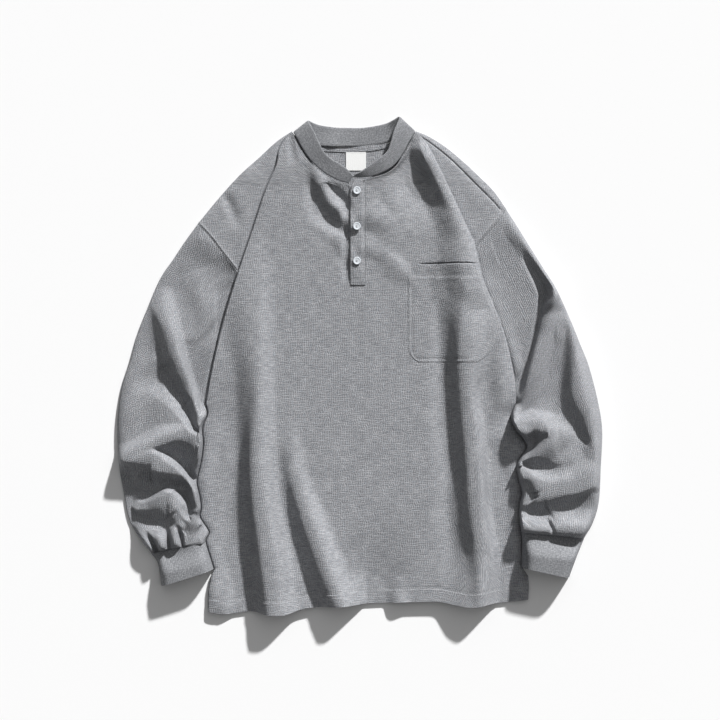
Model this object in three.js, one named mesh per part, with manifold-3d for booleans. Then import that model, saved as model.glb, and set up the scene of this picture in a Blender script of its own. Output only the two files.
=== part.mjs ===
// Henley shirt with long sleeves, laid flat on its back.
// Millimetres. X runs across the chest, +Y towards the collar, +Z up from the table.
// Left and right are as seen from above, with the collar away from the viewer.
import * as THREE from 'three';
import { mergeVertices } from 'three/addons/utils/BufferGeometryUtils.js';
import Module from 'manifold-3d';

const wasm = await Module();
wasm.setup();

// Driving sizes
const CLOTH = 2.0;
const SEAM_GAP = 0.3;
const SIDE_GAP = 0.5;
const STEEPEST_WALL = 1.8;
const EDGE_TOP = 2 * CLOTH + SEAM_GAP;
const EDGE_MIDDLE = EDGE_TOP / 2;
const SHOULDER_TOP = 10.5;
const BODY_TOP = 13.0;
const BODY_LEAST = 12.4;
const SLEEVE_LEAST = 10.5;
const SOFT_LIMIT = 30;
const SOFT_ROOM = 6;
const MIDDLE_X = -0.45;
const MIDDLE_Y = 1.3;

const PLACKET_LEFT = -14.3;
const PLACKET_RIGHT = 8;
const PLACKET_BOTTOM = 121;
const PLACKET_TOP = 278.6;
const PLACKET_WALL = 3;
const SLOT_LEFT = -17;
const SLOT_RIGHT = 8.3;
const SLOT_BOTTOM = 124;
const SLOT_TOP_LEFT = 271;
const SLOT_TOP_RIGHT = 280;

const POCKET_LEFT = 74;
const POCKET_RIGHT = 183;
const POCKET_BOTTOM = 7;
const POCKET_TOP = 151;
const POCKET_CORNER = 22;
const POCKET_HEM = 22;
const POCKET_WALL = 1.8;
const POCKET_HEM_WALL = 3;
const POCKET_CLEAR = 5;
const POCKET_CORNER_STEPS = 5;
const LAYER_REACH = 30;

const BUTTON_RADIUS = 5.75;
const BUTTON_WALL = 2.6;
// Half section of a button, columns radius, height
const BUTTON_PROFILE = [[0, 0], [4.35, 0], [5.75, 0.9], [5.75, 1.9], [5.05, 2.6], [4.25, 2.6], [3.75, 1.9],
  [0, 1.9]];
const BUTTON_SIDES = 24;
const BUTTON_HOLE_RADIUS = 0.9;
const BUTTON_HOLE_RING = 1.7;
const BUTTON_X = -4.6;
const BUTTON_ROWS = [262, 208.5, 157];

const LABEL_LEFT = -21;
const LABEL_RIGHT = 9;
const LABEL_BOTTOM = 293;
const LABEL_TOP = 320.5;
const LABEL_WALL = 0.8;
const TAPE_WALL = 1;
const TAPE_NEAR = 1.2;
const TAPE_FAR = 5.8;

const COLLAR_WALL = 2.2;
const SHOULDER_Y = 351.5;

// Plan curves, columns x, y
const LEFT_SHOULDER = [[-102, 351.5], [-125, 336], [-150, 313], [-180, 286], [-210, 253], [-243, 213]];
const RIGHT_SHOULDER = [[84, 351.5], [100, 345], [125, 330], [150, 310], [175, 287], [200, 262], [219, 235]];
const LEFT_ARMHOLE = [[-243, 213], [-225, 194], [-205, 168], [-183, 140]];
const RIGHT_ARMHOLE = [[219, 235], [205, 215], [190, 198], [173, 178]];
const LEFT_FOLD = [[-102, 351.5], [-120, 326], [-126, 300], [-143, 260], [-160, 208], [-183, 140],
  [-200, 85], [-213, 35], [-223, -10], [-231, -55]];
const RIGHT_FOLD = [[84, 351.5], [96, 338], [112, 310], [135, 262], [158, 212], [173, 178],
  [185, 130], [200, 92], [215, 52], [226, 10], [232.5, -25], [234, -55]];
const LEFT_NECK = [[-102, 351.5], [-96.5, 339], [-89.5, 325.5], [-79.5, 310.5], [-67, 297],
  [-51.5, 284.8], [-34, 275.6], [-17, 271]];
const RIGHT_NECK = [[84, 351.5], [77.5, 340], [69.8, 323.5], [60.8, 308.5], [49, 294.5], [34, 286], [8.3, 280]];
const BACK_NECK = [[-102, 351.5], [-94.5, 341.6], [-78.5, 332.4], [-60, 328.2], [-30, 326.9], [0, 327.2],
  [25, 329.6], [46, 334.6], [65, 340.6], [84, 351.5]];

// Sleeve edges, columns x, y: the outer edge, then the edge beside the body
const LEFT_OUTER = [[-243, 213], [-262, 187], [-280, 160], [-300, 130], [-318, 88], [-333, 50], [-345, 8],
  [-358, -35], [-364, -90], [-361, -150], [-354, -190], [-346, -230], [-329, -260], [-313, -280]];
const RIGHT_OUTER = [[219, 235], [235, 210], [255, 178], [275, 146], [294, 116], [315, 70], [330, 33], [343, 0],
  [356, -50], [363, -95], [361, -150], [358, -203], [349, -235], [336, -258]];
const LEFT_INNER = [[-231, -55], [-229, -72], [-236, -92], [-235, -117], [-238, -142], [-244, -172],
  [-240, -195], [-238, -212], [-240, -225], [-232, -238], [-226, -249], [-231, -263]];
const RIGHT_INNER = [[234, -55], [226, -74], [230, -90], [243, -108], [249, -122], [240, -137], [234, -150],
  [238, -172], [242, -190], [239, -205], [238, -225], [241, -248]];
const LEFT_CUFF_OUTER = [[-313, -280], [-303, -296], [-298, -328]];
const LEFT_CUFF_INNER = [[-231, -263], [-225, -283], [-219, -303]];
const RIGHT_CUFF_OUTER = [[336, -258], [325, -285], [314, -315]];
const RIGHT_CUFF_INNER = [[241, -248], [242, -275], [241, -299]];

// Body side below the cuffs, columns y, left x, right x
const LOW_SIDES = [[-304, -218.2, 244.5], [-316, -224, 252], [-335, -227.5, 253], [-360, -228, 252]];

// Hem line of the front, columns x, y
const HEM = [[-228, -368], [-200, -371], [-165, -367], [-140, -370], [-110, -370], [-85, -363], [-60, -360],
  [0, -356], [60, -353], [115, -352], [140, -356], [165, -359], [190, -356], [252, -350]];
const HEM_ROW = -360;
const HEM_REACH = 50;
const BACK_HEM_SHORT = 2;

// Rows of the front panel, columns first y, last y, count
const ROW_BANDS = [[-360, -335, 1], [-335, -316, 1], [-316, -304, 1], [-304, -299, 1], [-299, -285, 1],
  [-285, -263, 2], [-263, -55, 17], [-55, 124, 10], [124, 140, 1], [140, 178, 3], [178, 213, 2], [213, 235, 2],
  [235, 271, 3], [271, 280, 1], [280, 351.5, 7]];
const SHOULDER_SHARES = [0, 0.12, 0.45, 0.8];
const EDGE_STEPS = [0, 3, 10, 20];
const BODY_COLUMNS = 12;

// Folds, a row for each place along the crest: x, y, height, width left of travel, width right of travel
const BODY_FOLDS = {
  leftHemCrest: [[-126, -379, 22, 48, 38], [-131, -279, 24, 60, 28], [-144, -190, 23, 50, 25],
    [-153, -109, 20, 32, 30], [-150, -18, 16, 40, 24], [-152, 47, 11, 52, 28], [-157, 117, 6, 66, 34],
    [-160, 185, 0, 60, 30]],
  slantedCrest: [[-16, -377, 24, 34, 28], [-45, -308, 20, 40, 28], [-66, -245, 14, 44, 24],
    [-91, -176, 8, 36, 20], [-101, -123, 3, 24, 20], [-108, -80, 0, 20, 20]],
  pocketCrest: [[196, -375, 17, 60, 40], [190, -293, 19, 60, 24], [178, -212, 23, 51, 20],
    [171, -106, 22, 49, 20], [164, -42, 19, 46, 20], [160, 12, 20, 45, 40], [154, 67, 18, 40, 60],
    [149, 118, 12, 46, 50], [142, 160, 5, 46, 40], [138, 190, 0, 40, 36]],
  shoulderCrest: [[186, 85, 0, 40, 20], [181, 124, 12, 56, 20], [166, 170, 15, 55, 20], [153, 220, 15, 46, 20],
    [133, 264, 16, 46, 36], [116, 297, 16, 32, 50], [91, 333, 15, 25, 20], [84, 350, 11, 20, 20]],
  placketFold: [[-22, 214, 4, 20, 20], [-32, 230, 7, 20, 20], [-50, 257, 8, 21, 20], [-60, 283, 6, 28, 20],
    [-75, 302, 2, 30, 30]],
  rightSideCrest: [[214, -90, 0, 22, 36], [213, -40, 9, 22, 40], [211, 0, 10, 20, 36], [207, 45, 5, 20, 34],
    [200, 90, 0, 20, 30]],
};
const LEFT_SLEEVE_FOLDS = {
  upperRidge: [[-293, 119, 1, 12, 15], [-290, 79, 10, 22, 30], [-278, 43, 15, 16, 38], [-271, 19, 16, 14, 32],
    [-259, -12, 17, 12, 31], [-248, -45, 16, 12, 20], [-239, -72, 17, 12, 20], [-239, -83, 18, 70, 19]],
  upperTrough: [[-317, 83, -3, 12, 70], [-305, 33, -6, 22, 70], [-304, -3, -6, 12, 57],
    [-296, -12, -6, 26, 44], [-280, -39, -6, 18, 24], [-258, -70, -10, 19, 14], [-248, -93, -12, 12, 12]],
  elbowEdge: [[-310, 7, 1, 44, 12], [-304, -23, -4, 16, 70], [-291, -40, 3, 12, 48], [-264, -77, 7, 12, 61],
    [-248, -100, 16, 12, 42], [-223, -124, 24, 13, 49]],
  elbowCrest: [[-261, -95, 4, 70, 12], [-295, -109, 16, 38, 24], [-322, -119, 18, 56, 17],
    [-355, -140, 23, 14, 23]],
  elbowTrough: [[-311, -127, 0, 12, 22], [-294, -126, -8, 12, 19], [-265, -141, -9, 48, 16],
    [-253, -156, -10, 12, 19], [-242, -176, -12, 12, 12]],
  forearmEdge: [[-326, -137, 0, 12, 67], [-310, -131, 14, 12, 48], [-288, -143, 22, 12, 48],
    [-271, -155, 18, 12, 33], [-253, -174, 19, 12, 12], [-236, -210, 21, 12, 15]],
  forearmTrough: [[-346, -171, -13, 26, 22], [-329, -200, -12, 67, 23], [-311, -177, -12, 27, 24],
    [-279, -171, -12, 12, 12], [-261, -179, -10, 21, 28], [-261, -195, -9, 12, 24], [-254, -219, -12, 12, 12]],
  lowerFold: [[-349, -209, -10, 29, 50], [-325, -206, 6, 12, 22], [-300, -196, 13, 12, 41],
    [-284, -189, 15, 12, 41], [-264, -204, 17, 12, 39], [-257, -217, 14, 14, 28], [-241, -239, 4, 48, 23],
    [-237, -241, -12, 16, 47]],
  cuffRoll: [[-346, -238, 22, 12, 12], [-332, -251, 19, 12, 70], [-320, -244, -1, 12, 12],
    [-283, -246, -6, 62, 37], [-272, -253, 2, 14, 70]],
};
const RIGHT_SLEEVE_FOLDS = {
  armCrest: [[302, 99, 8, 60, 70], [292, 117, 21, 12, 12], [256, 172, 22, 20, 12], [240, 213, 16, 27, 70],
    [214, 229, 3, 22, 12]],
  armEdge: [[301, 125, 18, 12, 62], [286, 84, 19, 12, 22], [282, 65, 22, 16, 26], [275, 45, 22, 24, 25],
    [262, 8, 14, 32, 23], [252, -22, 8, 36, 20], [244, -48, 7, 22, 16], [223, -71, 16, 12, 56]],
  armTrough: [[224, 223, 6, 70, 12], [242, 183, -3, 12, 12], [260, 146, -9, 12, 12], [276, 114, -12, 14, 22],
    [268, 70, -12, 12, 24], [253, 26, -10, 13, 23], [243, -8, -10, 12, 33], [231, -34, -12, 13, 70]],
  outerTrough: [[318, 69, 5, 70, 17], [314, 24, 0, 16, 12], [304, -26, -4, 12, 17], [299, -65, -8, 29, 33],
    [320, -86, -4, 17, 17], [338, -113, -3, 12, 12]],
  outerCrest: [[324, 70, 10, 12, 14], [321, 17, 13, 15, 20], [331, -42, 13, 26, 35], [343, -80, 10, 19, 27],
    [350, -123, 4, 12, 22]],
  elbowRoll: [[216, -91, 24, 13, 54], [259, -84, 22, 22, 30], [279, -77, 9, 12, 59], [300, -86, 0, 12, 27],
    [323, -104, -4, 15, 38]],
  secondRoll: [[239, -142, 5, 12, 12], [252, -137, 7, 12, 20], [266, -121, 12, 12, 33],
    [281, -109, 14, 40, 36], [297, -104, 8, 24, 28]],
  thirdRoll: [[239, -150, 10, 12, 17], [269, -169, 9, 12, 28], [307, -176, 12, 23, 40],
    [342, -164, 12, 36, 61], [367, -154, 10, 70, 63]],
  thirdTrough: [[246, -217, -9, 12, 12], [274, -221, -12, 26, 23], [302, -210, -13, 25, 38],
    [324, -200, -13, 13, 63], [348, -190, -6, 12, 70]],
  innerCuffRoll: [[236, -231, 20, 12, 32], [251, -246, 17, 12, 12], [265, -247, 13, 12, 70],
    [286, -247, 8, 12, 52]],
  outerCuffRoll: [[284, -235, -2, 59, 32], [289, -234, 6, 12, 39], [316, -245, 4, 12, 22],
    [344, -212, 4, 12, 12], [353, -192, 7, 16, 12]],
};

// Height of each sleeve between its folds, columns y, height
const LEFT_SLEEVE_CROWN = [[-285, 28], [-255, 27], [-230, 22], [-200, 20], [-100, 16], [0, 13], [100, 12],
  [213, 10.5]];
const RIGHT_SLEEVE_CROWN = [[-265, 29], [-240, 28], [-220, 22], [-200, 20], [-100, 17], [0, 14], [100, 12],
  [235, 10.5]];
const SLEEVE_EDGE_REACH = 7;
const SLEEVE_INNER_REACH = 5;
const SLEEVE_COLUMNS = 12;
const ARMHOLE_ROWS = 4;
const FOLD_ROWS = 8;
const OUTER_INSETS = [0, 3, 10];
const INNER_INSETS = [2.8, 6, 10.5];
const NARROW_SHARE = 0.6;
const TIP_INSET = 0.3;
const FOLD_OUTER_REACH = 4;
const FOLD_INNER_REACH = 4;
const LAST_ROW_CLEAR = 4;
const CUFF_TOP = 28;
const CUFF_BLOUSE = 7;
const HOLE_REACH = 9;
const CUFF_ROWS = 3;
const CUFF_EDGE_REACH = 5;

// Collar band, a row for each station: seam x, y, z, then free edge x, y, z, both at mid wall
const COLLAR_STATIONS = [
  [-16.8, 272.6, 13.5, -9.8, 284.2, 20], [-33, 277.5, 14, -24, 298, 23], [-50, 286.5, 13.5, -42, 309, 23],
  [-65, 298.5, 12.5, -54, 320, 21.5], [-77, 311.5, 11.5, -61, 334, 19.5], [-87, 327, 10, -68, 349, 16],
  [-94, 340, 8, -73, 360, 12], [-99.5, 349.5, 5, -77, 367, 7], [-93, 343.5, 1.5, -70, 364.5, 2.2],
  [-78, 334.5, 1.6, -60, 361, 1.3], [-60, 329.8, 3.4, -45, 358.5, 1.3], [-44, 328.6, 5.6, -33, 357.4, 1.3],
  [-27, 328.6, 4, -20, 357, 1.3], [0, 329, 1.4, 2, 357, 1.3], [25, 331.5, 1.2, 24, 360, 1.3],
  [45, 336.5, 1.2, 40, 364, 1.3], [64, 342.5, 1.5, 50, 368.5, 1.9], [82, 350.5, 5, 58.5, 372.5, 6],
  [79, 344, 8, 55, 362, 10], [73, 334, 10, 49.5, 349, 12.5], [66, 321, 11.5, 45.5, 333, 15],
  [57.5, 307.5, 12.5, 40, 320, 17.5], [46.5, 296.5, 13.5, 29, 310, 19.5], [32, 288.5, 14, 17, 301, 20.5],
  [15, 283, 14.5, 6, 293.3, 20.5], [0, 281.8, 15, -2, 288.4, 19.5], [-10.6, 282.4, 15, -6.8, 286, 18],
];
const COLLAR_STEPS = 2;
const COLLAR_BANDS = 3;

const CURVE_STEPS = 8;

// A smooth line through rows of any width.
function smoothRows(rows, steps = CURVE_STEPS) {
  const last = rows.length - 1;
  const before = rows[0].map((v, c) => 2 * v - rows[1][c]);
  const after = rows[last].map((v, c) => 2 * v - rows[last - 1][c]);
  const all = [before, ...rows, after];
  const out = [];
  for (let i = 0; i < last; i += 1) {
    const [a, b, c, d] = all.slice(i, i + 4);
    for (let k = 0; k < steps; k += 1) {
      const t = k / steps;
      out.push(b.map((v, n) => 0.5 * (2 * v + (c[n] - a[n]) * t
        + (2 * a[n] - 5 * v + 4 * c[n] - d[n]) * t * t
        + (3 * v - a[n] - 3 * c[n] + d[n]) * t * t * t)));
    }
  }
  out.push(rows[last]);
  return out;
}

// Piecewise-linear reading of one column against another.
function reader(rows, key, value) {
  const sorted = [...rows].sort((a, b) => a[key] - b[key]);
  return (at) => {
    if (at <= sorted[0][key]) return sorted[0][value];
    for (let i = 1; i < sorted.length; i += 1) {
      const low = sorted[i - 1];
      const high = sorted[i];
      if (at <= high[key]) {
        const span = Math.max(high[key] - low[key], 1e-9);
        return low[value] + (high[value] - low[value]) * (at - low[key]) / span;
      }
    }
    return sorted[sorted.length - 1][value];
  };
}

const xOf = (rows) => reader(smoothRows(rows), 1, 0);
const mix = (a, b, t) => a + (b - a) * t;
const rise = (distance, reach) => 1 - Math.exp(-Math.max(distance, 0) / reach);

function ease(from, to, value) {
  const t = Math.min(Math.max((value - from) / (to - from), 0), 1);
  return t * t * (3 - 2 * t);
}

// Signed distance from a point to a line of rows, positive left of travel, and the row there.
function nearest(x, y, line) {
  let best = Infinity;
  let found = null;
  let sign = 1;
  for (let i = 1; i < line.length; i += 1) {
    const a = line[i - 1];
    const b = line[i];
    const dx = b[0] - a[0];
    const dy = b[1] - a[1];
    const along = ((x - a[0]) * dx + (y - a[1]) * dy) / Math.max(dx * dx + dy * dy, 1e-9);
    const t = Math.min(Math.max(along, 0), 1);
    const distance = Math.hypot(x - a[0] - t * dx, y - a[1] - t * dy);
    if (distance < best) {
      best = distance;
      sign = dx * (y - a[1]) - dy * (x - a[0]) >= 0 ? 1 : -1;
      found = [i, t];
    }
  }
  const [i, t] = found;
  return { distance: best, side: sign, row: line[i].map((v, c) => mix(line[i - 1][c], v, t)) };
}

// A set of folds becomes a function that gives the added height at a place.
function foldField(folds) {
  const lines = Object.values(folds).map((rows) => {
    const line = smoothRows(rows, 4);
    const reach = Math.max(...line.map((r) => Math.max(r[3], r[4])));
    return { line, reach };
  });
  return (x, y) => {
    let height = 0;
    for (const { line, reach } of lines) {
      const { distance, side, row } = nearest(x, y, line);
      if (distance < reach) {
        const q = Math.min(distance / Math.max(side > 0 ? row[3] : row[4], 0.5), 1);
        height += row[2] * (1 - q * q) ** 2;
      }
    }
    return height;
  };
}

// Cloth sags where several folds meet, so heights over the soft limit are pressed together.
function sagged(height) {
  return height > SOFT_LIMIT ? SOFT_LIMIT + SOFT_ROOM * rise(height - SOFT_LIMIT, SOFT_ROOM) : height;
}

// Edges of the front panel, each giving x at a height y
const leftFoldX = xOf(LEFT_FOLD);
const rightFoldX = xOf(RIGHT_FOLD);
const leftInnerX = xOf([...LEFT_INNER, ...LEFT_CUFF_INNER.slice(1)]);
const rightInnerX = xOf([...RIGHT_INNER, ...RIGHT_CUFF_INNER.slice(1)]);
const lowLeftX = reader(LOW_SIDES, 0, 1);
const lowRightX = reader(LOW_SIDES, 0, 2);
const leftShoulderX = xOf(LEFT_SHOULDER);
const rightShoulderX = xOf(RIGHT_SHOULDER);
const leftArmholeX = xOf(LEFT_ARMHOLE);
const rightArmholeX = xOf(RIGHT_ARMHOLE);
const leftNeckX = xOf(LEFT_NECK);
const rightNeckX = xOf(RIGHT_NECK);
const hemY = reader(smoothRows(HEM), 0, 1);

const ARMPIT_Y = -55;
const LEFT_TIP_Y = 140;
const RIGHT_TIP_Y = 178;
const LEFT_POINT_Y = 213;
const RIGHT_POINT_Y = 235;
const CUFF_LEVEL_Y = -299;

function sideX(y, foldX, innerX, lowX, towardsBody) {
  if (y >= ARMPIT_Y) return foldX(y);
  if (y < CUFF_LEVEL_Y - 1) return lowX(y);
  return innerX(y) + towardsBody * SIDE_GAP;
}
const bodyLeftX = (y) => sideX(y, leftFoldX, leftInnerX, lowLeftX, 1);
const bodyRightX = (y) => sideX(y, rightFoldX, rightInnerX, lowRightX, -1);

function panelLeftX(y) {
  if (y >= LEFT_POINT_Y) return leftShoulderX(y);
  return y > LEFT_TIP_Y ? leftArmholeX(y) : bodyLeftX(y);
}
function panelRightX(y) {
  if (y >= RIGHT_POINT_Y) return rightShoulderX(y);
  return y > RIGHT_TIP_Y ? rightArmholeX(y) : bodyRightX(y);
}

// Height of the front's upper side
const bodyFoldHeight = foldField(BODY_FOLDS);
const leftShoulderLine = smoothRows(LEFT_SHOULDER);
const rightShoulderLine = smoothRows(RIGHT_SHOULDER);
const seamTop = (y) => EDGE_TOP + (SHOULDER_TOP - EDGE_TOP) * ease(-60, 50, y);
const CLIFF_LEFT = 0.65;
const CLIFF_RIGHT = 0.45;
const CLIFF_WIDTH = 2.5;
const SHOULDER_REACH = 9;
const LEFT_REACH = 16;
const RIGHT_REACH = 12;
const START_CLEAR = 20;
const SHOULDER_SHARE = 0.25;
const LEVEL_Y = 300;
// Where each of these fades, first y, last y
const CLIFF_FADE = [-30, -80];
const LEFT_START = [330, 290];
const RIGHT_START = [350, 320];

function frontTop(x, y) {
  const outer = Math.min(nearest(x, y, leftShoulderLine).distance, nearest(x, y, rightShoulderLine).distance);
  const shoulder = EDGE_TOP + (SHOULDER_TOP - EDGE_TOP) * rise(outer, SHOULDER_REACH);
  const fromLeft = x - bodyLeftX(y);
  const fromRight = bodyRightX(y) - x;
  if (fromLeft <= 0 && y > LEFT_TIP_Y) return shoulder;
  if (fromRight <= 0 && y > RIGHT_TIP_Y) return shoulder;
  const onLeft = fromLeft < fromRight;
  const near = onLeft ? fromLeft : fromRight;
  const reach = onLeft ? LEFT_REACH : RIGHT_REACH;
  const folded = sagged(Math.max(BODY_TOP + bodyFoldHeight(x, y), BODY_LEAST));
  const body = mix(SHOULDER_TOP, folded, Math.max(ease(SHOULDER_Y, LEVEL_Y, y), SHOULDER_SHARE));
  const cliff = (onLeft ? CLIFF_LEFT : CLIFF_RIGHT) * (1 - ease(...CLIFF_FADE, y));
  const base = y > (onLeft ? LEFT_TIP_Y : RIGHT_TIP_Y) ? shoulder : seamTop(y);
  const climb = cliff * ease(0, CLIFF_WIDTH, near) + (1 - cliff) * rise(near, reach);
  const start = ease(...(onLeft ? LEFT_START : RIGHT_START), y);
  return mix(base, body, climb * start + (1 - start) * rise(near + START_CLEAR, reach));
}

// A wall measured straight down from its upper side is thicker where the side is steep.
function wallDown(heightAt, x, y, wall) {
  const step = 2;
  const slopeX = (heightAt(x + step, y) - heightAt(x - step, y)) / (2 * step);
  const slopeY = (heightAt(x, y + step) - heightAt(x, y - step)) / (2 * step);
  return wall * Math.min(Math.hypot(1, slopeX, slopeY), STEEPEST_WALL);
}

// Collects triangles over welded corners and gives a closed geometry.
class Skin {
  constructor() {
    this.points = [];
    this.faces = [];
    this.known = new Map();
  }

  corner(p) {
    const key = p.map((v) => Math.round(v * 1000)).join(',');
    if (!this.known.has(key)) {
      this.known.set(key, this.points.length);
      this.points.push(p);
    }
    return this.known.get(key);
  }

  triangle(a, b, c) {
    const [i, j, k] = [a, b, c].map((p) => this.corner(p));
    if (i !== j && j !== k && k !== i) this.faces.push([i, j, k]);
  }

  quad(a, b, c, d) {
    this.triangle(a, b, c);
    this.triangle(a, c, d);
  }

  geometry() {
    const geometry = new THREE.BufferGeometry();
    geometry.setAttribute('position', new THREE.BufferAttribute(new Float32Array(this.points.flat()), 3));
    geometry.setIndex(this.faces.flat());
    return geometry;
  }
}

// A slab between two heights over a grid of plan points. keep(i, j) says which cells are cloth.
function slab(plan, upper, lower, keep) {
  const skin = new Skin();
  const edges = new Map();
  const at = (p, z) => [p.x, p.y, z];
  const cell = (cornersOf) => {
    for (const three of [[0, 1, 2], [0, 2, 3]]) {
      const [a, b, c] = three.map((k) => cornersOf[k]);
      const keys = [a, b, c].map((p) => `${Math.round(p.x * 1000)},${Math.round(p.y * 1000)}`);
      if (keys[0] !== keys[1] && keys[1] !== keys[2] && keys[2] !== keys[0]) {
        skin.triangle(at(a, upper(a)), at(b, upper(b)), at(c, upper(c)));
        skin.triangle(at(a, lower(a)), at(c, lower(c)), at(b, lower(b)));
        [[a, b, 0, 1], [b, c, 1, 2], [c, a, 2, 0]].forEach(([p, q, m, n]) => {
          const back = `${keys[n]}|${keys[m]}`;
          if (edges.has(back)) edges.delete(back);
          else edges.set(`${keys[m]}|${keys[n]}`, [p, q]);
        });
      }
    }
  };
  for (let i = 0; i + 1 < plan.length; i += 1) {
    for (let j = 0; j + 1 < plan[i].length; j += 1) {
      if (keep(i, j)) cell([plan[i][j], plan[i][j + 1], plan[i + 1][j + 1], plan[i + 1][j]]);
    }
  }
  for (const [p, q] of edges.values()) {
    skin.quad(at(p, upper(p)), at(p, lower(p)), at(q, lower(q)), at(q, upper(q)));
  }
  return skin.geometry();
}

// The front's grid of plan points, rows from hem to shoulder, columns from left to right
const rowHeights = [ROW_BANDS[0][0]];
for (const [from, to, count] of ROW_BANDS) {
  for (let k = 1; k <= count; k += 1) rowHeights.push(mix(from, to, k / count));
}

function halfRow(edge, fold, inner) {
  const shoulder = SHOULDER_SHARES.map((share) => mix(edge, fold, share));
  const width = Math.abs(inner - fold);
  const towards = Math.sign(inner - fold);
  const total = EDGE_STEPS.length - 1 + BODY_COLUMNS;
  const steps = EDGE_STEPS.map((step, k) => Math.min(step, width * k / total));
  const start = steps[steps.length - 1];
  const rest = [];
  for (let k = 1; k <= BODY_COLUMNS; k += 1) rest.push(mix(start, width, k / BODY_COLUMNS));
  return [...shoulder, ...[...steps, ...rest].map((d) => fold + towards * d)];
}

const frontPlan = rowHeights.map((y) => {
  const leftFold = y > LEFT_TIP_Y ? leftFoldX(y) : panelLeftX(y);
  const rightFold = y > RIGHT_TIP_Y ? rightFoldX(y) : panelRightX(y);
  const leftEnd = y > SLOT_TOP_LEFT ? leftNeckX(y) : SLOT_LEFT;
  const rightEnd = y > SLOT_TOP_RIGHT ? rightNeckX(y) : SLOT_RIGHT;
  const left = halfRow(panelLeftX(y), leftFold, leftEnd);
  const right = halfRow(panelRightX(y), rightFold, rightEnd).reverse();
  const hemShare = Math.max(1 - (y - HEM_ROW) / HEM_REACH, 0);
  return [...left, ...right].map((x) => ({ x, y: y + (hemY(x) - HEM_ROW) * hemShare }));
});
const slotColumn = SHOULDER_SHARES.length + EDGE_STEPS.length + BODY_COLUMNS - 1;

for (const row of frontPlan) {
  row.forEach((p) => {
    p.top = Math.max(frontTop(p.x, p.y), EDGE_TOP);
  });
  for (const p of [row[0], row[row.length - 1]]) {
    if (p.y < ARMPIT_Y + 1 || p.y > LEFT_POINT_Y - 1) p.edge = true;
  }
  row.forEach((p) => {
    const wall = p.edge ? CLOTH : wallDown(frontTop, p.x, p.y, CLOTH);
    p.under = Math.max(p.top - wall, CLOTH + SEAM_GAP);
  });
}

const isSlot = (i, j) => j === slotColumn && rowHeights[i] >= SLOT_BOTTOM - 1;

function manifoldOf(geometry) {
  const bare = geometry.clone();
  for (const name of Object.keys(bare.attributes)) {
    if (name !== 'position') bare.deleteAttribute(name);
  }
  const merged = mergeVertices(bare, 1e-4);
  const mesh = new wasm.Mesh({
    numProp: 3,
    vertProperties: new Float32Array(merged.attributes.position.array),
    triVerts: new Uint32Array(merged.index.array),
  });
  return new wasm.Manifold(mesh);
}

function geometryOf(solid) {
  const mesh = solid.getMesh();
  const geometry = new THREE.BufferGeometry();
  geometry.setAttribute('position', new THREE.BufferAttribute(new Float32Array(mesh.vertProperties), 3));
  geometry.setIndex([...mesh.triVerts]);
  return geometry;
}

const PRISM_LOW = -20;
const PRISM_HIGH = 100;

// What stands over an outline given as plan points
function column(outline) {
  const shape = new THREE.Shape(outline.map(([x, y]) => new THREE.Vector2(x, y)));
  const geometry = new THREE.ExtrudeGeometry(shape, { depth: PRISM_HIGH - PRISM_LOW, bevelEnabled: false });
  geometry.translate(0, 0, PRISM_LOW);
  return manifoldOf(geometry);
}

// A layer that lies on the front, made from the front's own points and cut to an outline
function layerOnFront(outline, lift, wall) {
  const xs = outline.map((p) => p[0]);
  const ys = outline.map((p) => p[1]);
  const keep = (i, j) => {
    const a = frontPlan[i][j];
    const b = frontPlan[i + 1][j + 1];
    return b.x > Math.min(...xs) - LAYER_REACH && a.x < Math.max(...xs) + LAYER_REACH
      && b.y > Math.min(...ys) - LAYER_REACH && a.y < Math.max(...ys) + LAYER_REACH && b.x - a.x > 0.5;
  };
  const layer = slab(frontPlan, (p) => p.top + lift + wall, (p) => p.top + lift, keep);
  return manifoldOf(layer).intersect(column(outline));
}

const materials = {
  knit: new THREE.MeshStandardMaterial({ color: 0x8b8d90, roughness: 0.95, metalness: 0 }),
  rib: new THREE.MeshStandardMaterial({ color: 0x85878a, roughness: 0.95, metalness: 0 }),
  button: new THREE.MeshStandardMaterial({ color: 0xe9ebee, roughness: 0.35, metalness: 0 }),
  label: new THREE.MeshStandardMaterial({ color: 0xf4f4f2, roughness: 0.8, metalness: 0 }),
};

const shirt = new THREE.Group();
shirt.position.set(-MIDDLE_X, -MIDDLE_Y, 0);

function add(name, geometry, material) {
  const mesh = new THREE.Mesh(geometry, material);
  mesh.name = name;
  shirt.add(mesh);
  return mesh;
}

// Front
add('front', slab(frontPlan, (p) => p.top, (p) => p.under, (i, j) => !isSlot(i, j)), materials.knit);

// Back, flat on the table
function flatPiece(outline, low, wall) {
  const shape = new THREE.Shape(outline.map(([x, y]) => new THREE.Vector2(x, y)));
  const geometry = new THREE.ExtrudeGeometry(shape, { depth: wall, bevelEnabled: false });
  geometry.translate(0, 0, low);
  return geometry;
}

const leftBoundary = frontPlan.map((row) => [row[0].x, row[0].y]);
const rightBoundary = frontPlan.map((row) => [row[row.length - 1].x, row[row.length - 1].y]);
const backHem = [];
for (let k = 1; k < 12; k += 1) {
  const x = mix(leftBoundary[0][0], rightBoundary[0][0], k / 12);
  backHem.push([x, hemY(x) + BACK_HEM_SHORT]);
}
leftBoundary[0][1] += BACK_HEM_SHORT;
rightBoundary[0][1] += BACK_HEM_SHORT;
const backNeck = smoothRows(BACK_NECK, 3).slice(1, -1);
const backOutline = [...leftBoundary, ...backNeck, ...rightBoundary.reverse(), ...backHem.reverse()];
add('back', flatPiece(backOutline, 0, CLOTH), materials.knit);

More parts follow.
